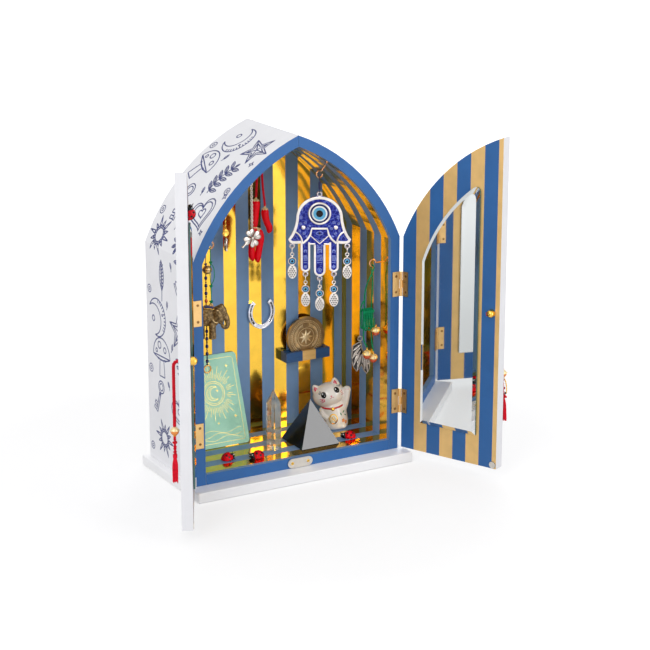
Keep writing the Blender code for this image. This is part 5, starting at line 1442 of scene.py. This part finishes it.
def link_turn(number, odd_long, even_long=1.0):
    """The turn of a chain's link, crosswise to the link before it, and how much longer than wide it is."""
    if number % 2:
        return UPRIGHT @ Matrix.Diagonal((1, odd_long, 1, 1))
    return SIDEWAYS @ Matrix.Diagonal((even_long, 1, 1, 1))


clover = Shape()
outline = [(across * 4.9, (up + 1.0) * 5.2 + 0.5) for across, up in heart_outline()]
for quarter in range(4):
    lean = CLOVER @ UPRIGHT @ spin("Z", 20 + 90 * quarter)
    clover.dome(outline, 1.1, SILVER, lean, -0.8)
    clover.tube([(*point, 0.2) for point in outline], 0.45, DARK_SILVER, 6, closed=True, place=lean)
    clover.tube([(0, 0.8, 1.0), (0, 4, 1.35), (0, 7.4, 1.0)], 0.32, DARK_SILVER, 6, place=lean)
    for tilt in (-1, 1):
        clover.tube([(tilt * 0.4, 2.4, 1.0), (tilt * 2.4, 6.4, 0.85)], 0.22, DARK_SILVER, 6, place=lean)
clover.ball((1.5, 1.2, 1.5), SILVER, CLOVER @ at(0, -0.9, 0), 16)
stem = smooth_route([(0, 0, 0), (-6.0, 0, -4.0), (-9.0, 0, -6.8), (-11.2, 0, -8.6)], 1.5)
sizes = [0.8 + 0.5 * index / len(stem) for index in range(len(stem))]
clover.tube(stem, 0.95, SILVER, 10, sizes, place=CLOVER)
clover.ring(1.5, 0.4, SILVER, CLOVER @ at(0, 0.3, 10.3, SIDEWAYS), 18, 7)
chain = [(0, 0.3, 11.6), (0, 0.2, 0.4 * CLOVER_DROP), (0, 1.4, 0.8 * CLOVER_DROP),
         (0, 2.8, CLOVER_DROP - 1.9)]
for number, point in enumerate(resample(smooth_route(chain, 2), 2.1)):
    clover.ring(1.15, 0.36, SILVER, CLOVER @ at(*point, link_turn(number, 1.3, 1.3)), 14, 6)
piece("clover", clover, CHILI, "chili_bundle", ["clover_charm"])

# Small charm on its chain
token = Shape()
for number in range(30):
    token.ring(0.75, 0.24, GOLD, at(0, 0, -2.2 - 1.92 * number, link_turn(number, 1.35)), 12, 5)
disc = [(0, 0.9), (2.6, 0.8), (3.0, 1.1), (3.5, 0.9), (3.6, 0), (3.5, -0.9), (3.0, -1.1),
        (2.6, -0.8), (0, -0.9)]
token.turned(disc, GOLD, at(0, 0, -62.6, UPRIGHT), 30)
token.ring(1.0, 0.3, GOLD, at(0, 0, -66.6, SIDEWAYS), 14, 6)
cone = [(0, -67.2), (0.9, -67.4), (1.2, -68.4), (0.8, -69), (1.3, -70.4), (1.4, -77.6),
        (0.7, -81.4), (0, -81.9)]
token.turned(cone, DARK_SILVER, steps=18)
for number in range(11):
    angle = number * SPIRAL_DEG
    lean = at(*polar(1.25, angle), -70.2 - 0.95 * number, spin("Z", angle) @ spin("Y", -14))
    token.ball((0.55, 0.95, 1.9), DARK_SILVER if number % 2 else SILVER, lean, 14)
piece("small_token", token, hung_from("small_charm_swing"), "small_charm", ["small_charm"])

# Elephant, its forms in shares of its length and height
LONG = 34.0
HIGH = 38.0
BEAST = Matrix.Diagonal((LONG, LONG, HIGH, 1.0))
BEAST_DROP = 53.02
HUNG = at(0, 0, -BEAST_DROP)
bronze = Finish("aged_elephant_bronze")
creases = bronze.noise(480, 6, 0.6)
browns = [(0.32, srgb(64, 48, 28)), (0.52, srgb(130, 105, 67)), (0.7, srgb(190, 162, 114))]
bronze.set(base_color=bronze.ramp(creases, browns), metallic=0.55)
bronze.set(roughness=bronze.span(bronze.noise(60, 4), 0.38, 0.62))
bronze.bump(creases, 0.6, 0.35)
HIDE = bronze.material
MASSES = {
    "barrel": ((0.36, 0.23, 0.27), (-0.12, 0, -0.40), 32),
    "haunch": ((0.2, 0.2, 0.22), (-0.3, 0, -0.42), 24),
    "head": ((0.185, 0.165, 0.19), (0.27, 0, -0.29), 28),
    "crown": ((0.08, 0.1, 0.08), (0.3, 0, -0.15), 20),
    "chest": ((0.19, 0.2, 0.25), (0.06, 0, -0.44), 24),
    "jaw": ((0.1, 0.12, 0.16), (0.27, 0, -0.47), 20),
}


def beast_route(spacing, *places):
    return smooth_route([BEAST @ Vector(place) for place in places], spacing)


beast = Shape()
for size, place, steps in MASSES.values():
    beast.ball(size, HIDE, BEAST @ at(*place), steps)
trunk = beast_route(0.9, (0.34, 0, -0.3), (0.44, 0, -0.45), (0.475, 0, -0.62), (0.43, 0, -0.715),
                    (0.34, 0, -0.70), (0.31, 0, -0.63))
sizes = [share + 0.03 * (index % 2) for index, share in enumerate(tapered(len(trunk), 1.05, -0.55))]
beast.tube(trunk, 0.09 * LONG, HIDE, 16, sizes)
leg = [(0, 4), (0.12 * LONG, 3), (0.1 * LONG, -0.2 * HIGH), (0.1 * LONG, -0.38 * HIGH),
       (0.112 * LONG, -0.45 * HIGH), (0, -0.46 * HIGH)]
for side in (-1, 1):
    for along in (-0.30, 0.03):
        beast.turned(leg, HIDE, at(along * LONG, side * 0.115 * LONG, -0.54 * HIGH), 18)
    flap = spin("Z", side * 24)
    beast.ball((0.15, 0.045, 0.185), HIDE, BEAST @ at(0.16, side * 0.195, -0.36, flap), 24)
    beast.ball((0.1, 0.03, 0.1), HIDE, BEAST @ at(0.13, side * 0.19, -0.5, flap), 20)
    tusk = beast_route(0.8, (0.4, side * 0.06, -0.42), (0.47, side * 0.09, -0.5), (0.52, side * 0.09, -0.48))
    beast.tube(tusk, 0.75, HIDE, 8, tapered(len(tusk), 1.1, -0.7))
beast.tube(beast_route(1, (-0.46, 0, -0.3), (-0.51, 0, -0.42), (-0.49, 0, -0.58)), 0.8, HIDE, 8)
body = beast.melted("elephant_body", 0.45, 2)
body.transform(Matrix.Translation(Vector((0, 0, -BEAST_DROP * MM))))
piece("elephant_body", body, ELEPHANT, "elephant", ["elephant"])

gear = Shape()
saddle = []
for along in tapered(9, -0.2, 0.28):
    share = math.sqrt(max(0.05, 1 - ((along + 0.12) / 0.37) ** 2))
    outer = [(0.245 * aside, 0.285 * up) for up, aside in arc((0, 0), share, -36, 36, 12)]
    inner = sized(reversed(outer), 0.93)
    saddle.append([BEAST @ Vector((along, aside, up - 0.40)) for aside, up in outer + inner])
gear.loft(saddle, FELT, HUNG)
hems = [saddle[0][:13], saddle[-1][:13], [loop[0] for loop in saddle], [loop[12] for loop in saddle]]
for hem in hems:
    gear.tube(hem, 0.4, GOLD, 7, place=HUNG)
for side in (-1, 1):
    rim = [BEAST @ Vector((0.16 + 0.125 * x, side * (0.235 - 0.045 * x), -0.36 + 0.165 * y))
           for x, y in arc((0, 0), 1, -150, 90, 12)]
    gear.tube(rim, 0.6, RUBBED_BRONZE, 8, place=HUNG)
    gear.ball((0.7, 0.5, 0.6), JET, HUNG @ at(0.38 * LONG, side * 0.125 * LONG, -0.27 * HIGH), 12)
gear.ring(1.4, 0.75, BRASS, HUNG @ at(0, 0, -0.11 * HIGH, UPRIGHT), 22, 8)
gear.knot(1.7, 0.45, GREEN_CORD, at(0.1, 0, -53.9))
piece("elephant_gear", gear, ELEPHANT, "elephant")

# Bead string
BELL = at(1.4, -0.4, -51)
BEADS = 12
FIRST_BEAD = -56
BEAD_STEP = (150 + FIRST_BEAD) / BEADS
CHARM_UP = -153.8
beads = Shape()
shell = [(0, 4.6), (1.1, 4.5), (1.4, 3.9), (3.2, 3.3), (4.4, 1.6), (4.7, 0.5), (4.5, 0.2), (4.7, -0.2),
         (4.4, -1.8), (3.0, -3.6), (1.0, -4.5), (0, -4.6)]
beads.turned(shell, BRASS, BELL, 28)
# A near-black ring round the bell's middle and bars across its foot are painted shade in its seam and slits
beads.ring(4.6, 0.35, PAINTED_SHADE, BELL, 28, 6)
for slit in (0, 90):
    cut = [(4.0 * aside, 0, -4.3 * up) for up, aside in arc((0, 0), 1, -60, 60, 8)]
    beads.tube([spin("Z", slit) @ Vector(point) for point in cut], 0.35, PAINTED_SHADE, 6, place=BELL)
beads.knot(1.3, 0.4, NAVY_CORD, at(0, 0, -45.6))
barrel = [(0, 2.2), (0.7, 2.0), (1.45, 1.1), (1.6, 0), (1.45, -1.1), (0.7, -2.0), (0, -2.2)]
for number in range(BEADS):
    up = FIRST_BEAD - BEAD_STEP * (number + 0.45)
    beads.turned(barrel, SCARLET if number == 3 else NAVY, at(0, 0, up), 16)
    beads.ball((1.0, 1.0, 0.8), JET if number % 3 else GOLD, at(0, 0, up - 3.2), 12)
    beads.ball((0.9, 0.9, 0.7), NAVY, at(0, 0, up + 3.2), 12)
beads.ring(3.8, 0.9, BRASS, at(0, 0, CHARM_UP, UPRIGHT), 32, 10)
for mark in range(0, 360, 30):
    across, up = polar(3.8, mark)
    beads.ball(0.55, GOLD, at(across, -0.8, CHARM_UP + up), 8)
piece("string_beads", beads, STRING, "bead_string", ["bead_string"])


# Bells
def acorn_bell():
    bell = Shape()
    bell.ring(0.75, 0.3, GOLD, at(0, 0, -0.55, UPRIGHT), 14, 6)
    bell.turned([(0, -0.9), (0.9, -1.0), (1.0, -2.2), (1.5, -2.6), (0, -2.8)], GOLD, steps=16)
    cap = [(0, -2.3), (1.6, -2.6), (3.2, -3.6), (4.3, -5.2), (4.75, -6.5), (4.6, -7.0), (4.0, -6.9),
           (0, -6.4)]
    bell.turned(cap, CREAM, steps=28)
    for rib in range(14):
        angle = rib * 360 / 14
        ends = ((1.7, -2.7), (3.3, -3.75), (4.35, -5.2), (4.75, -6.4))
        bell.tube([(*polar(radius, angle), up) for radius, up in ends], 0.22, GOLD, 5)
    cup = [(0, -6.6), (4.15, -6.8), (4.3, -7.6), (3.8, -9.4), (2.4, -11.2), (0.7, -11.95), (0, -12)]
    bell.turned(cup, SCARLET, steps=28)
    bell.ring(4.3, 0.3, GOLD, at(0, 0, -7.2), 28, 6)
    return bell.ball(0.55, GOLD, at(0, 0, -11.9), 10)


for name, place in (("bell_upper", (2.6, -2.75, -62)), ("bell_left", (-8, -3, -85.75)),
                    ("bell_right", (-0.3, -3, -90.75))):
    piece(name + "_acorn", acorn_bell(), BELLS @ at(*place), "right_charms", [name])

# Filigree charm
RIM = (((1.8, -5), (2, -16), (8, -20), 6), ((11, -23), (15, -32), (8.6, -39), 8),
       ((5, -35), (3.4, -30), (2, -28), 4), ((0.6, -30), (-1.4, -33), (-4, -35), 4),
       ((-8, -30), (-11.4, -22), (-10, -12), 7), ((-9, -6.5), (-5, -5), (-1.8, -4), 5))
LEAVES = (((0.5, -6), (-8.4, -12), 0.26), ((0, -9), (-9.4, -20), 0.24), ((0.4, -13), (-8, -28), 0.22),
          ((1.2, -17), (-3.8, -34), 0.2), ((3.0, -16), (2.4, -27), 0.22), ((4.6, -18), (5.6, -34), 0.2),
          ((6.8, -20), (9, -37.5), 0.18), ((8.6, -22), (11.6, -32), 0.2))
GRAINS = ((-2.4, -7.4), (-4.4, -16.4), (-3.6, -24.6), (5.2, -24), (9.2, -28))
face = at(-12.85, 3, -76.4) @ UPRIGHT
rim = [point for part in RIM for point in bend(*part)]
leafwork = Shape()
# A near-black plate behind the open leafwork is painted shade in its gaps
leafwork.plate([(across * 0.97, up) for across, up in rim], 0.7, PAINTED_SHADE, face)
leafwork.tube([(across * 0.95, up, 0) for across, up in rim], 0.62, DARK_SILVER, 8, closed=True, place=face)
leafwork.ring(2.6, 0.6, DARK_SILVER, face, 26, 8)
for start, end, width in LEAVES:
    leafwork.dome(petal(start, end, width), 1.25, DARK_SILVER, face, -0.3)
    middle = ((start[0] + end[0]) / 2, (start[1] + end[1]) / 2)
    leafwork.tube([(*start, 1.0), (*middle, 1.55), (*end, 0.5)], 0.26, SILVER, 6, place=face)
stem = [(*point, 0.5) for point in bend((0, -3), (1.6, -12), (6, -20), 8)]
leafwork.tube(stem, 0.7, DARK_SILVER, 8, place=face)
for across, up in GRAINS:
    leafwork.ball((0.7, 0.7, 0.5), SILVER, face @ at(across, up, 1.2), 10)
piece("filigree_leafwork", leafwork, BELLS, "right_charms", ["filigree_charm"])

# Horseshoe
SHOE_X = 8
SHOE_Y = BACK_FACE - 0.3 - 2.6
SHOE_UP = 140.3
SHOE_HALVES = (13.2, 15.6)
shoe = Shape()


def on_shoe(across, up, lift):
    return Vector((SHOE_X + across, SHOE_Y - lift, SHOE_UP + up))


def shoe_line(start_deg, end_deg, aside, steps=18):
    turns = arc((0, 0), 1, start_deg, end_deg, steps)
    return [((SHOE_HALVES[0] + aside) * x, (SHOE_HALVES[1] + aside) * y) for y, x in turns]


for start, end in ((52, 138), (222, 308)):
    # The groove along each arm is a wide near-black line: painted shade
    shoe.line(shoe_line(start, end, 0), 1.9, PAINTED_SHADE, on_shoe, high=0.06)
    for aside in (-1.0, 1.0):
        shoe.line(shoe_line(start, end, aside), 0.5, STEEL, on_shoe, high=0.4)
    for across, up in shoe_line(start + 14, end - 14, 0, 3):
        shoe.ball((0.6, 0.4, 0.6), STEEL, at(*on_shoe(across, up, 0.1)), 10)
for aside in (2.0, -2.0):
    shoe.line(shoe_line(44, 316, aside, 40), 0.6, STEEL, on_shoe, high=0.35)
piece("horseshoe_fullering", shoe, standing(0, 0, 0), "cabinet")

# Coin: a star and a wreath on both faces
COIN_AT = (58.4, 92.3, 107.2)
COIN_BEADS = 54
WREATH = 13.2
relief = Shape()
for turn in (UPRIGHT, UPRIGHT.inverted()):
    plate = at(*COIN_AT, turn) @ at(0, 0, 1.18)
    for bead in range(COIN_BEADS):
        relief.ball((0.62, 0.62, 0.4), BRONZE, plate @ at(*polar(18.0, bead * 360 / COIN_BEADS), 0), 8)
    relief.ring(16.4, 0.36, BRONZE, plate, 48, 6)
    relief.dome(starred(8.4, 3.6, 8), 0.9, BRONZE, plate, -0.1)
    relief.ring(9.8, 0.42, BRONZE, plate, 40, 6)
    for side in (-1, 1):
        headings = [90 + side * angle for angle in range(24, 160, 8)]
        relief.tube([(*polar(WREATH, heading), 0.05) for heading in headings], 0.3, BRONZE, 6, place=plate)
        for heading in headings[:-1]:
            for lift in (-1.9, 1.9):
                tip = polar(WREATH + lift, heading - side * 9)
                relief.dome(petal(polar(WREATH, heading), tip, 0.34), 0.7, BRONZE, plate, -0.1)
piece("coin_relief", relief, standing(0, 0, 0), "cabinet")

# Card: a gilt sun with a moon in it, stars and hills
CARD_X = -55.2
CARD_BACK = 65.4
CARD_HIGH = 96
CARD_HALF = 0.3
CARD_GAP = 0.3
SUN_UP = 56
STARS = ((4.2, 58.4, 2.0), (-18.5, 84, 2.4), (19, 82.5, 2.0), (0, 87.5, 1.6), (-20.5, 28, 1.9),
         (20.5, 29.5, 2.2), (0, 24.5, 1.7))
lean = math.asin((BACK_FACE - CARD_BACK - 2 * CARD_HALF - CARD_GAP) / CARD_HIGH)
foot = cabinet(CARD_X, CARD_BACK, FLOOR_UP + CARD_HALF * math.sin(lean))
card_place = Matrix.Translation(foot) @ spin("X", 90 - math.degrees(lean)) @ Matrix.Scale(MM, 4)
gilt = Shape()


def on_card(across, up, lift):
    return Vector((across, up, CARD_HALF + lift))


def gild(points, width, closed=False):
    gilt.line(points, width, GOLD_INK, on_card, closed, 0.07)


frame_line = []
for across, up, start in ((24.5, 88.5, 0), (-24.5, 88.5, 90), (-24.5, 7.5, 180), (24.5, 7.5, 270)):
    frame_line += arc((across, up), 3, start, start + 90, 5)
gild(frame_line, 0.4, True)
for ray in range(60):
    near, far = ((14.0, 29), (15.5, 20), (14.5, 25.5), (16, 22))[ray % 4]
    ends = shifted([polar(near, ray * 6), polar(far, ray * 6)], 0, SUN_UP)
    if all(abs(across) < 26 and 8 < up < 90 for across, up in ends):
        gild(ends, 0.5)
for radius, width in ((12.4, 0.6), (10.6, 0.5)):
    gild(arc((0, SUN_UP), radius, 0, 360, 36)[:-1], width, True)
gild(shifted(arc((0, 0), 7.6, 50, 310, 24) + arc((2.6, 0), 6.3, 292, 68, 20), -0.6, SUN_UP), 0.55, True)
for angle in range(110, 247, 17):
    gild(shifted([polar(7.2, angle), polar(5.2, angle)], -0.6, SUN_UP), 0.4)
for across, up, size in STARS:
    gilt.dome(shifted(starred(size, size * 0.4, 4), across, up), 0.14, GOLD_INK, at(0, 0, CARD_HALF), -0.05)
for row in range(3):
    hills = []
    for across in range(-25, 26, 2):
        hills.append((across, 9 + 3.4 * row + 2.0 * math.sin(across * 0.18 + row * 1.7)))
    gild(hills, 0.35)
piece("card_gilding", gilt, card_place, "cabinet")

# Lucky cat
CAT = standing(78.6, 68.5, FLOOR_UP, -26)
TILT = spin("Y", -20)
HEAD = Vector((-4.8, -1.63, 35.5))
HALF = Vector((17.25, 13.5, 13.0))
LOOK = (2.6, 3.6)
SINK = 0.15
GIRTH = 16.3
BODY_HIGH = 26
PAW = (14.4, -4.9)
CAT_BELL = at(-1.2, -13.3, 22.6)
MEDAL = at(-0.6, -15.7, 12.2, spin("X", 84))
BODY_SHARES = [(0.0, 0.93), (6.2, 1.0), (13.5, 0.94), (20.8, 0.84), (25.5, 0.72)]
EAR_HOLLOW = [(-2.4, -1.6), (0, -2.2), (2.4, -1.6), (1.6, 1.2), (0, 3.2), (-1.6, 1.2)]
EAR_LINING = [(-1.2, -0.8), (0, -1.2), (1.2, -0.8), (0.8, 0.6), (0, 1.6), (-0.8, 0.6)]


def head_place(across, up, lift=0.0):
    """A place on the front of the head, which looks up and to the right, with its Z outward and its Y up."""
    across, up = across + LOOK[0], up + LOOK[1]
    back = -HALF.y * math.sqrt(max(0.02, 1 - (across / HALF.x) ** 2 - (up / HALF.z) ** 2))
    outward = Vector((across / HALF.x ** 2, back / HALF.y ** 2, up / HALF.z ** 2)).normalized()
    spot = Vector((across, back, up)) + outward * lift
    return at(*HEAD) @ TILT @ at(*spot) @ facing(outward)


def on_head(across, up, lift):
    return head_place(across, up, lift - SINK).translation


def ear_place(side):
    root = HEAD + TILT.to_3x3() @ Vector((side * 0.6 * HALF.x, 0, 0.72 * HALF.z))
    return at(*root) @ TILT @ spin("Y", side * 14)


def on_body(angle, up):
    """A place on the side of the body at a height."""
    for (low, near), (high, far) in zip(BODY_SHARES, BODY_SHARES[1:]):
        if up <= high:
            radius = GIRTH * (near + (far - near) * (up - low) / (high - low))
            break
    across, back = polar(radius - SINK, angle)
    return at(across, back, up) @ facing(Vector((across, back, 0.12 * radius)).normalized())


cat = Shape()
sides = [(0.3, 1.18), (0.55, 1.12), (0.72, 0.98), (0.84, 0.8), (0.94, 0.52), (1.0, 0.24), (0.99, 0.1),
         (0.93, 0.0)]
cat.turned([(0, 31.2), *[(GIRTH * across, BODY_HIGH * up) for across, up in sides], (0, 0)], GLAZE, steps=36)
cat.ball(HALF, GLAZE, at(*HEAD) @ TILT, 40)
ear = [(0, 6.6), (1.0, 6.3), (2.6, 4.6), (4.4, 1.6), (5.4, -1.0), (5.2, -3.2), (0, -3.2)]
for side in (-1, 1):
    cat.turned(ear, GLAZE, ear_place(side) @ Matrix.Diagonal((1, 0.75, 1, 1)), 24)
    cat.ball((5.4, 5.0, 3.4), GLAZE, at(side * 8.6, -9.6, 2.9), 20)
for limb, radius, steps in (([(9.8, -1.6, 15.6), (12.4, -4.2, 26), (14.2, -5, 36), (*PAW, 41)], 3.8, 16),
                            ([(-12.6, -4, 20), (-11.6, -10.6, 15), (-6.2, -14, 12)], 3.0, 14),
                            ([(0, 13, 3), (7, 15, 4), (11, 11.5, 9)], 2.6, 14)):
    cat.tube(smooth_route(limb, 1.5), radius, GLAZE, steps)
cat.ball((4.5, 4.0, 4.4), GLAZE, at(*PAW, 41.4), 22)
piece("cat_body", cat.melted("cat_body", 0.6, 9), CAT, "cabinet", ["lucky_cat"])

face = Shape()


def stroke_on_head(points, width, paint, side):
    face.line([(side * across, up) for across, up in points], width, paint, on_head, high=0.3)


for side in (-1, 1):
    eye = head_place(side * 7.4, 1.2)
    face.dome(oval(2.9, 3.4), 0.4, JET, eye, -0.9)
    # The two white domes in each eye are painted highlights
    face.dome(oval(0.95, 1.05, 12, -0.8, 1.3), 0.6, MILK, eye, 0.1)
    face.dome(oval(0.45, 0.5, 10, 0.9, -1.2), 0.55, MILK, eye, 0.1)
    for lash in (0, 1, 2):
        ends = [(9.0 + 0.8 * lash, 4.0 - 0.9 * lash), (10.2 + 1.0 * lash, 5.4 - 0.9 * lash)]
        stroke_on_head(ends, 0.5, JET, side)
    for mark, (across, up) in enumerate(((10.4, -2.6), (10.6, -4.4), (10.2, -6.2))):
        stroke_on_head([(across, up), (across + 2.4, up + 0.5 - 0.4 * mark)], 0.7, GLAZE_PINK, side)
    stroke_on_head([(0, -3.6), (1.0, -4.6), (2.4, -4.2)], 0.45, GLAZE_RED, side)
    inner = ear_place(side) @ at(0, -3.0, 1.6, spin("X", 72))
    face.dome(EAR_HOLLOW, 0.5, GLAZE_RED, inner, -0.8)
    face.dome(EAR_LINING, 0.75, GLAZE_PINK, inner, 0.1)
for number in range(5):
    blossom = oval(0.75, 0.75, 10, *polar(1.3, number * 72 + 18))
    face.dome(blossom, 0.3, GLAZE_PINK, head_place(-9.6, -4.4), -0.6)
face.dome(oval(1.0, 0.7, 14), 0.5, GLAZE_PINK, head_place(0, -2.4), -0.6)
face.ring(11.7, 1.25, GLAZE_RED, at(-0.9, -0.9, 24.2, spin("Y", -8) @ spin("X", 6)), 48, 10, 0.8)
face.ball(2.1, GOLD, CAT_BELL, 20)
face.ring(2.1, 0.3, GOLD, CAT_BELL, 24, 6)
# The bell's slot is a near-black bar: painted shade
face.tube([(-1.2, -15.2, 22.2), (-1.2, -14.6, 21.0)], 0.35, PAINTED_SHADE, 6)
face.dome(oval(4.7, 5.6, 28), 0.55, GOLD, MEDAL, -1.2)
face.dome(oval(3.9, 4.8, 28), 0.8, MILK, MEDAL, 0.1)
for number in range(3):
    face.ring(1.15, 0.32, GOLD, MEDAL @ at(*polar(1.8, number * 120 + 90), 0.72), 18, 6)
face.tube([(-3.0, 3.0, 0.7), (-0.4, 0.4, 0.95), (3.0, -3.2, 0.6)], 0.3, GOLD, 6, place=MEDAL)
for angle, up, turn_deg in ((-48, 17.4, 30), (-40, 15.4, -40), (-56, 15.2, 100)):
    spot = on_body(angle, up) @ spin("Z", turn_deg)
    face.dome(petal((-0.4, 0), (3.4, 0.8), 0.34), 0.4, GLAZE_GREEN, spot, -0.9)
for angle, up, paint in ((-50, 9.4, GLAZE_ORANGE), (-36, 7.2, GLAZE_ORANGE), (-128, 10.4, GLAZE_PINK),
                         (-140, 16.2, GLAZE_RED)):
    spot = on_body(angle, up)
    for number in range(5):
        face.dome(oval(0.95, 0.95, 10, *polar(1.35, number * 72)), 0.35, paint, spot, -0.9)
    face.dome(oval(0.6, 0.6, 10), 0.55, GOLD, spot, -0.6)
for toe in (-1, 0, 1):
    face.line([(PAW[0] + toe * 1.5, 43.6), (PAW[0] + toe * 1.3, 42.2)], 0.35, GLAZE_PINK,
              lambda across, up, lift: Vector((across, -8.6 - lift, up)), high=0.2)
piece("cat_features", face, CAT, "cabinet")

# Ladybirds
SHELL = Vector((6.6, 5.7, 7.1))
SHELL_AT = Vector((-0.5, 0, 0.5))
SPOT_RAISE = 0.02
SPOTS = ((48, 62, 1.25), (48, -62, 1.25), (28, 108, 1.2), (28, -108, 1.2), (46, 140, 1.15), (46, -140, 1.15),
         (78, 20, 0.9))
STANDS = ((73.7, 26.2, 150), (-68, 29, 20), (-38.8, 19, 165))


def ladybird(size=1.0):
    """A ladybird that looks along local X."""
    beetle = Shape()
    grown = Matrix.Scale(size, 4)
    quarter = [(across, up) for up, across in arc((0, 0), 1, 0, 90, 10)]
    shell = grown @ at(*SHELL_AT, Matrix.Diagonal((*SHELL, 1)))
    beetle.turned(quarter + [(0.92, -0.06), (0, -0.06)], LACQUER, shell, 40)
    neck = grown @ at(4.2, 0, 0.5, Matrix.Diagonal((3.6, 4.4, 5.2, 1)))
    beetle.turned(quarter + [(0.9, -0.05), (0, -0.05)], JET, neck, 28)
    beetle.ball((2.2, 2.9, 2.3), JET, grown @ at(7.0, 0, 2.6), 22)
    seam = [(SHELL_AT.x + 6.72 * x, 0, SHELL_AT.z + 7.2 * y) for x, y in arc((0, 0), 1, 66, 166, 10)]
    beetle.tube(seam, 0.24, JET, 7, place=grown)
    for angle, around, radius in SPOTS:
        level, rise = polar(1, angle)
        across, aside = polar(level, around)
        shares = (across, aside, rise)
        spot = Vector([(SHELL[axis] + SPOT_RAISE) * shares[axis] for axis in range(3)])
        outward = Vector([spot[axis] / SHELL[axis] ** 2 for axis in range(3)]).normalized()
        beetle.ball((radius, radius, 0.22), JET, grown @ at(*(spot + SHELL_AT)) @ facing(outward), 16)
    for side in (-1, 1):
        beetle.ball((0.7, 0.8, 0.6), MILK, grown @ at(6.0, side * 3.0, 4.2), 12)
        beetle.ball(0.45, MILK, grown @ at(8.4, side * 1.6, 3.4), 10)
        feeler = [(8.2, side * 0.8, 4.4), (9.2, side * 1.5, 5.3), (9.6, side * 2.3, 5.4)]
        beetle.tube(feeler, 0.22, JET, 6, place=grown)
        for along in (-3.2, 0.4, 3.6):
            leg = [(along, side * 4.0, 1.0), (along + 0.3, side * 5.9, 1.2), (along + 0.8, side * 6.4, 0.25)]
            beetle.tube(leg, 0.36, JET, 7, place=grown)
    return beetle


for number, (across, back, turn_deg) in enumerate(STANDS, 1):
    piece(f"beetle_{number}", ladybird(), standing(across, back, FLOOR_UP, turn_deg), "cabinet",
          [f"ladybird_{number}"])
perch = on_door("left") @ at(-24, DOOR_FACE, 301.5, spin("X", -90) @ spin("Z", -90))
piece("beetle_4", ladybird(0.92), perch, "left_door")
